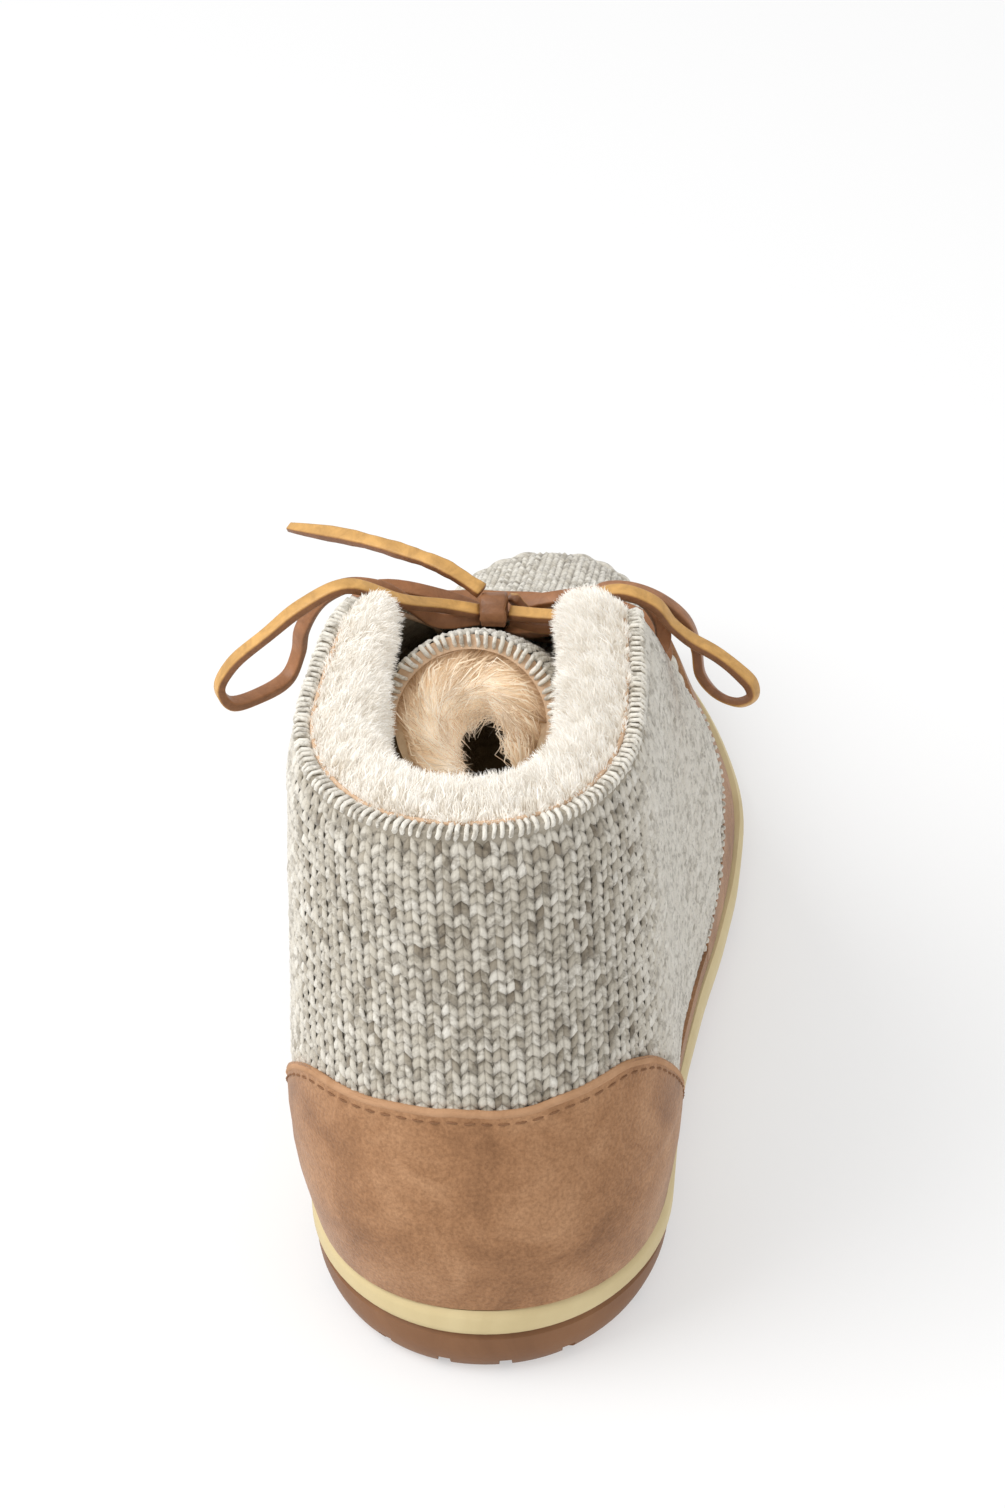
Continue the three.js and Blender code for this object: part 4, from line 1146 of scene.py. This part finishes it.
collarPath, collarOut, _ = evenly(*collarRoute(), wrapLook["pitch"])
collarPath, collarOut = collarPath[:-1], collarOut[:-1]
collarAlong = unit(np.roll(collarPath, -1, 0) - np.roll(collarPath, 1, 0))
collarUp = unit(np.cross(collarOut, collarAlong))
rolled = boot["lap"] - rollLook["depth"]
overlock("collar_overlock", "upper", collarPath + collarOut * rolled, collarOut, collarUp,
         boot["wall"] + rolled, reachOut=1.5, reachIn=0.9, tint=1.06)


# the quarter's front edge, from the sole over the instep to the other side
def quarterRoute():
    z = np.linspace(float(footAt(quarterLine[1, 0])) + wallLook["stripHeight"], 90, 400)
    y = quarterAhead(z)
    keep = z < ridgeAt(y) - 0.03
    outer, outerOut, inner, innerOut = bothSides(y[keep], z[keep])
    return np.vstack([outer, inner[::-1]]), np.vstack([outerOut, innerOut[::-1]])


frontPath, frontOut, _ = evenly(*quarterRoute(), wrapLook["pitch"])
frontUp = unit(np.cross(frontOut, unit(np.gradient(frontPath, axis=0))))
frontUp = frontUp * np.where(frontUp[:, 1:2] < 0, -1, 1)
overlock("quarter_overlock", "upper", frontPath + frontOut * boot["lap"], frontOut, frontUp,
         boot["lap"], reachOut=1.7, reachIn=0.0, tint=0.7)
# the skin side of the lining shows as a thin tan line inside the overlock
skinPath, skinOut, _ = evenly(*collarRoute(), 1.5)
skinLine = skinPath - skinOut * (boot["wall"] + 0.75) + (0, 0, 0.1)
skinLine, skinOut = skinLine[:-1], skinOut[:-1]
skinRadii = np.full((1, len(skinLine)), 0.5)
skinPoints, skinFaces, _ = tubes(skinLine[None], skinRadii, 6, skinOut[None], ring=True)
collarSkin = pieceFrom("collar_skin_edge", skinPoints, skinFaces)
finishPiece(collarSkin, tanEdge, "pile", "pile_lining")
print("collar edge ready")

# the pile lining: a body inside the collar that the strands grow from
pileLook = dict(core=9.2, below=0.2, gapInner=23, gapOuter=17.5, gapTop=19.5, gapFrom=57, gapSlope=(102, 113),
                voxel=0.9, rounding=16, lumps=1.9, lumpSize=5.5, length=4.6, width=0.3, strands=38000)
liningFront = liningFloor[-1, 0] - halfLength
liningEdge = [*edgePoints(liningFloor, farBack, liningFront, 30),
              *edgePoints(topline, liningFront, farBack, 60, -pileLook["below"])]
skinAt = boot["wall"] + boot["gap"]
liningCore = -(skinAt + pileLook["core"])
liningRegion = acrossBoot("lining_region", liningEdge)
lining = layerOn("pile_lining_body", liningCore, liningCore + pileLook["core"], liningRegion)
shaftX = sideShift + float(leanAt(115.5))
gapOutline = [(-pileLook["gapInner"], -farUp), (pileLook["gapOuter"], -farUp), (pileLook["gapOuter"], farUp),
              (-pileLook["gapTop"], farUp), (-pileLook["gapTop"], pileLook["gapSlope"][1]),
              (-pileLook["gapInner"], pileLook["gapSlope"][0])]
gapOutline = [(shaftX + side, up) for side, up in gapOutline]
gapBack = pileLook["gapFrom"] - halfLength
cutWith(lining, acrossBoot("throat_gap", gapOutline, gapBack, farFront, lengthwise=True))
applyModifier(lining, "REMESH", mode="VOXEL", voxel_size=pileLook["voxel"] / 1000)
applyModifier(lining, "SMOOTH", factor=0.5, iterations=pileLook["rounding"])
lumps = bpy.data.textures.new("pile_lumps", "CLOUDS")
lumps.noise_scale = pileLook["lumpSize"] / 1000
applyModifier(lining, "DISPLACE", texture=lumps, texture_coords="LOCAL", strength=pileLook["lumps"] / 1000,
              mid_level=0.45)
finishPiece(lining, pileSkin, "pile", "pile_lining", smoothAngle=50)


# random places on a mesh's faces, with the way they face
def scatterOn(obj, count, keep):
    mesh = obj.data
    mesh.calc_loop_triangles()
    corners = np.empty(len(mesh.loop_triangles) * 3, np.int32)
    mesh.loop_triangles.foreach_get("vertices", corners)
    co = np.empty(len(mesh.vertices) * 3, np.float32)
    mesh.vertices.foreach_get("co", co)
    tri = (co.reshape(-1, 3).astype(float) * 1000)[corners.reshape(-1, 3)]
    flat = np.cross(tri[:, 1] - tri[:, 0], tri[:, 2] - tri[:, 0])
    area = np.linalg.norm(flat, axis=1) / 2
    facing = unit(flat)
    weight = area * keep(tri.mean(1), facing)
    pick = dice.choice(len(tri), count, p=weight / weight.sum())
    a, b = dice.random((2, count))
    turned = a + b > 1
    a, b = np.where(turned, 1 - a, a), np.where(turned, 1 - b, b)
    corner, second, third = tri[pick, 0], tri[pick, 1], tri[pick, 2]
    return corner + (second - corner) * a[:, None] + (third - corner) * b[:, None], facing[pick]


def nearestOf(places, wanted):
    tree = KDTree(len(places))
    for k, p in enumerate(places):
        tree.insert(p, k)
    tree.balance()
    return np.array([tree.find(p)[1] for p in wanted])


# soft strands gathered into tufts: flat ribbons of two faces
def strands(name, roots, direction, length, width, tuft, gather, spreadOut, curl=0.1):
    n = len(roots)
    heads = roots[dice.choice(n, max(8, int(n / tuft)), replace=False)]
    nearest = nearestOf(heads, roots)
    direction = unit(direction + spreadOut * dice.standard_normal((n, 3)))
    own = (length * (0.75 + 0.5 * dice.random(n)))[:, None]
    tip = roots + direction * own
    counts = np.maximum(np.bincount(nearest, minlength=len(heads)), 1)
    sums = [np.bincount(nearest, weights=tip[:, c], minlength=len(heads)) for c in range(3)]
    tuftTip = np.stack([total / counts for total in sums], -1)
    tuftTip = tuftTip + unit(dice.standard_normal((len(heads), 3))) * np.mean(own) * 0.22
    tip = tip + (tuftTip[nearest] - tip) * gather * (0.5 + 0.7 * dice.random(n))[:, None]
    bend = dice.standard_normal((n, 3)) * own * curl
    share = np.array([0, .55, 1.0])
    bow = share * (1 - share) * 4
    line = roots[:, None] + (tip - roots)[:, None] * share[:, None] + bend[:, None] * bow[:, None]
    across = unit(np.cross(tip - roots, dice.standard_normal((n, 3))))
    half = width * np.array([1.0, .85, .12])[None, :, None] / 2 * (0.8 + 0.4 * dice.random(n))[:, None, None]
    points = np.stack([line - across[:, None] * half, line + across[:, None] * half], 2)
    quad = np.array([(0, 1, 3, 2), (2, 3, 5, 4)])
    faces = (quad[None] + (np.arange(n) * 6)[:, None, None]).reshape(-1, 4)
    tint = dice.random(len(heads))[nearest] * 0.6 + dice.random(n) * 0.4
    values = dict(along=np.tile(np.repeat(share, 2), n), tint=np.repeat(tint, 6))
    return pieceFrom(name, points.reshape(-1, 3), faces, values)


shaftMiddle = np.array([shaftX, -58.0, 0])
rimPath, rimOut, _ = evenly(*collarRoute(), 1.0)


# the pile grows inwards and over the top, short beside the skin
def collarStrands(name, count, keep, length):
    roots, facing = scatterOn(lining, count, keep)
    rim = nearestOf(rimPath, roots)
    inwards = -rimOut[rim] * (1, 1, 0)
    depth = np.linalg.norm((roots - rimPath[rim]) * (1, 1, 0), axis=1) - skinAt
    direction = facing + inwards * 0.5 + (0, 0, 0.1)
    own = length * np.clip(0.3 + depth / 6, 0.3, 1)
    return strands(name, roots, direction, own, pileLook["width"], 40, 0.5, 0.3)


def topFace(centre, facing):
    return (facing[:, 2] > 0.4) & (centre[:, 2] > 88)


def insideFace(centre, facing):
    inwards = unit((shaftMiddle - centre) * (1, 1, 0))
    return ((facing * inwards).sum(-1) > 0.2) * np.clip((centre[:, 2] - 70) / 30, 0.15, 1)


for name, keep in (("collar_pile_top", topFace), ("collar_pile_inside", insideFace)):
    made = collarStrands(name, pileLook["strands"], keep, pileLook["length"])
    finishPiece(made, collarPile, "pile", "pile_lining")
print("lining ready")

# the tongue: curled, sewn under the vamp
tongueLook = dict(rows=70, columns=60, thick=2.6, shrink=0.4, aside=-0.9, edgeFrom=22.0)
rowTable = np.column_stack([np.arange(len(tongueRows)), tongueRows])
rowAt = np.linspace(0, len(tongueRows) - 1, tongueLook["rows"])
ahead, up, radius, sweep = (read(rowTable, c, rowAt) for c in (1, 2, 3, 4))
shrunk = tongueLook["shrink"] * smooth((rowAt - 3) / 4)
radius = radius - shrunk
tongueMiddle = np.stack([sideShift + leanAt(up) + tongueLook["aside"], ahead - halfLength, up], -1)
tongueDir = unit(np.gradient(tongueMiddle * (0, 1, 1), axis=0))
tongueOut = np.stack([np.zeros(len(up)), tongueDir[:, 2], -tongueDir[:, 1]], -1)
tongueMiddle = tongueMiddle - tongueOut * shrunk[:, None]
tongueRun = runOf(tongueMiddle)


def tongueRadius(t):
    return np.interp(t, tongueRun, radius)


# half the tongue's width, measured round its curl
def tongueReach(t):
    return np.interp(t, tongueRun, np.radians(sweep) * radius)


# a point of the tongue by the way across and along it, both in millimetres
def tongueAt(s, t):
    s, t = np.broadcast_arrays(s, t)
    shape = s.shape
    s, t = s.ravel(), t.ravel()
    r = tongueRadius(t)
    turn = s / r
    out = pickAlong(t, tongueRun, tongueOut)
    p = pickAlong(t, tongueRun, tongueMiddle) + out * (r * (np.cos(turn) - 1))[:, None]
    p[:, 0] += r * np.sin(turn)
    facing = out * np.cos(turn)[:, None]
    facing[:, 0] += np.sin(turn)
    return p.reshape(*shape, 3), unit(facing).reshape(*shape, 3)


# faces of a closed sheet: a grid of points, then the same grid for its under side
def sheetFaces(rows, columns):
    total = rows * columns
    r, c = np.meshgrid(np.arange(rows - 1), np.arange(columns - 1), indexing="ij")
    at = (r * columns + c).ravel()
    over = np.stack([at, at + columns, at + columns + 1, at + 1], -1)
    border = np.concatenate([np.arange(columns - 1), np.arange(rows - 1) * columns + columns - 1,
                             (rows - 1) * columns + np.arange(columns - 1, 0, -1),
                             np.arange(rows - 1, 0, -1) * columns])
    after = np.roll(border, -1)
    rim = np.stack([border, after, after + total, border + total], -1)
    return np.vstack([over, over[:, ::-1] + total, rim])


# a closed sheet from its upper and under points
def sheetPiece(name, over, under):
    points = np.vstack([over.reshape(-1, 3), under.reshape(-1, 3)])
    return pieceFrom(name, points, sheetFaces(*over.shape[:2]))


tongueAcross = (np.radians(sweep) * radius)[:, None] * np.linspace(-1, 1, tongueLook["columns"])[None]
tongueTop, tongueFaces = tongueAt(tongueAcross, np.broadcast_to(tongueRun[:, None], tongueAcross.shape))
tongue = sheetPiece("tongue_felt", tongueTop, tongueTop - tongueFaces * tongueLook["thick"])
finishPiece(tongue, tanEdge, "knit", "tongue", smoothAngle=40)
tongueSpots = stitchSpots(14, 2, tongueRun[-1] - 4)
tongueCentres = tongueSpots[np.abs(tongueSpots[:, 0]) < tongueReach(tongueSpots[:, 1]) - 2.6]
turnFaces(knitStitches("tongue_knit", "tongue", tongueCentres, tongueAt, 0.05, paler=0.28), over=True)


# up one side of the tongue, over its end and down the other side
def tongueRoute():
    t = np.linspace(tongueLook["edgeFrom"], tongueRun[-1], 200)
    edge = tongueReach(t)
    last = edge[-1]
    s = np.concatenate([-edge, np.linspace(-last, last, 200)[1:-1], edge[::-1]])
    t = np.concatenate([t, np.full(198, tongueRun[-1]), t[::-1]])
    return tongueAt(s, t)


tonguePath, tongueFacing, _ = evenly(*tongueRoute(), wrapLook["pitch"])
tongueUp = unit(np.cross(unit(np.gradient(tonguePath, axis=0)), tongueFacing))
if tongueUp[len(tongueUp) // 2, 1] > 0:  # outwards is back and up at the tongue's end
    tongueUp = -tongueUp
overlock("tongue_overlock", "tongue", tonguePath, tongueFacing, tongueUp, tongueLook["thick"] - 0.8,
         reachOut=2.2, reachIn=0.6, tint=0.92)

# the tongue's fleece: a soft lining that curls on past the sewn edges
fleeceLook = dict(rows=54, columns=60, thick=6.0, past=40, start=20.0, short=1.8, lumps=0.9,
                  length=9.5, width=0.3, fur=42000, tuft=110)


def fleeceSheet(name):
    t = np.linspace(fleeceLook["start"], tongueRun[-1] - fleeceLook["short"], fleeceLook["rows"])
    share = (t - t[0]) / (t[-1] - t[0])
    reach = tongueReach(t) / tongueRadius(t) + np.radians(fleeceLook["past"]) * smooth((t - t[0]) / 30)
    across = np.linspace(-1, 1, fleeceLook["columns"])
    s = (reach * tongueRadius(t))[:, None] * across[None]
    p, facing = tongueAt(s, np.broadcast_to(t[:, None], s.shape))
    sideways, endways = np.maximum(1 - np.abs(across) ** 4, 0.02), np.maximum(1 - share ** 8, 0.05)
    full = np.sqrt(sideways)[None] * np.sqrt(endways)[:, None]  # thinner at the edges
    waves = np.sin(s * 0.9 + np.sin(t * 0.5)[:, None] * 1.4) * np.sin(t * 0.8)[:, None]
    deep = fleeceLook["thick"] * full + fleeceLook["lumps"] * waves * full
    under = p - facing * (tongueLook["thick"] + 0.2 + deep)[..., None]
    return sheetPiece(name, p - facing * (tongueLook["thick"] - 0.2), under)


fleece = fleeceSheet("tongue_fleece")
finishPiece(fleece, furSkin, "pile", "tongue", smoothAngle=60)


# which way the tongue's inner side faces: towards the middle of its curl
def curlMiddle(p):
    t = np.interp(-p[:, 1], -tongueMiddle[:, 1], tongueRun)
    middle, out = tongueAt(np.zeros(len(p)), t)
    return middle - out * tongueRadius(t)[:, None]


def onEnd(facing):
    return facing @ tongueDir[-1] > 0.3


def innerFace(centre, facing):
    towards = unit(curlMiddle(centre) - centre)
    inner = (facing * towards).sum(-1) > 0.25
    end = onEnd(facing) & (centre[:, 2] > 100)
    return (inner | end) * np.clip((centre[:, 2] - 85) / 20, 0.1, 1)


# long fur that lies round the curl and swirls to its middle
roots, facing = scatterOn(fleece, fleeceLook["fur"], innerFace)
inwards = unit(curlMiddle(roots) - roots)
swirl = unit(np.cross(inwards, tongueDir[-1]))
ending = onEnd(facing)[:, None]
lying = np.where(ending, inwards * 0.9, facing * 0.55) + swirl * 0.6
lying = lying + tongueDir[-1] * np.where(ending, 0.12, 0.22)
tongueFur = strands("tongue_pile", roots, lying, fleeceLook["length"], fleeceLook["width"], fleeceLook["tuft"],
                    0.62, 0.16, 0.12)
finishPiece(tongueFur, innerPile, "pile", "tongue")
print("tongue ready")

# bars of the lace through the eyelets
barLook = dict(lift=3.5, inside=4.0)
bars = dict(lower=((115.5, 95.5), (10, 121.5, 96.5), (0, 122.5, 96)),
            upper=((102.5, 106.5), (9, 106.5, 105.4), (0, 107, 101.6)))


def barRoute(which):
    eyelet = eyelets[which]
    overEdge, dip, middle = bars[which]
    halves = []
    for side in (1, -1):
        at, out = surfaceAt(*eyelet, side)
        between = ((eyelet[0] + overEdge[0]) / 2, (eyelet[1] + overEdge[1]) / 2)
        spots = [at - out * barLook["inside"], at + out * 0.8]
        for spot in (between, overEdge):
            p, n = surfaceAt(*spot, side)
            spots.append(p + n * barLook["lift"])
        halves.append(np.array(spots))
    across = routePoints([dip, middle, (-dip[0], dip[1], dip[2])])
    return np.vstack([halves[0], across, halves[1][::-1]])


for which in bars:
    path = curveThrough(barRoute(which), laceSize["perSpan"])
    up = np.cross(unit(path[2] - path[0]), (1.0, 0, 0))
    made = thong("lace_bar_" + which + "_leather", path, up, laceSize["width"])
    finishPiece(made, leather, "lace", "lace_bar_" + which)
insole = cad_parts["insole"].data
insole.materials.clear()
insole.materials.append(footbed)
print("lace bars ready")

# floor and soft studio light
light = dict(world=0.76, key=10.5, fill=0.2, floor=(.5, .5, .5, 1), floorGlow=0.46)
bpy.ops.object.select_all(action="DESELECT")
bpy.ops.mesh.primitive_plane_add(size=8, location=(0, 0, 0))
floor = bpy.context.object
floor.name = "floor"
paleFloor, _, floorShader = newMaterial("pale_floor", 0.9, specular=0.1)
floorShader.inputs["Base Color"].default_value = light["floor"]
floorShader.inputs["Emission Color"].default_value = (1, 1, 1, 1)
floorShader.inputs["Emission Strength"].default_value = light["floorGlow"]
floor.data.materials.append(paleFloor)
world = scene.world = bpy.data.worlds.new("studio")
world.use_nodes = True
sky = world.node_tree.nodes["Background"].inputs
sky["Color"].default_value = (1, 1, 1, 1)
sky["Strength"].default_value = light["world"]


def addArea(name, place, aim, size, power):
    data = bpy.data.lights.new(name, "AREA")
    data.size = size
    data.energy = power
    made = linked(name, data)
    made.location = place
    made.rotation_mode = "QUATERNION"
    made.rotation_quaternion = (Vector(aim) - Vector(place)).to_track_quat("-Z", "Y")


addArea("key", (-0.75, -0.35, 0.95), (0, 0, 0.05), 0.9, light["key"])
addArea("fill", (0.9, -0.6, 0.7), (0, 0, 0.05), 0.8, light["fill"])
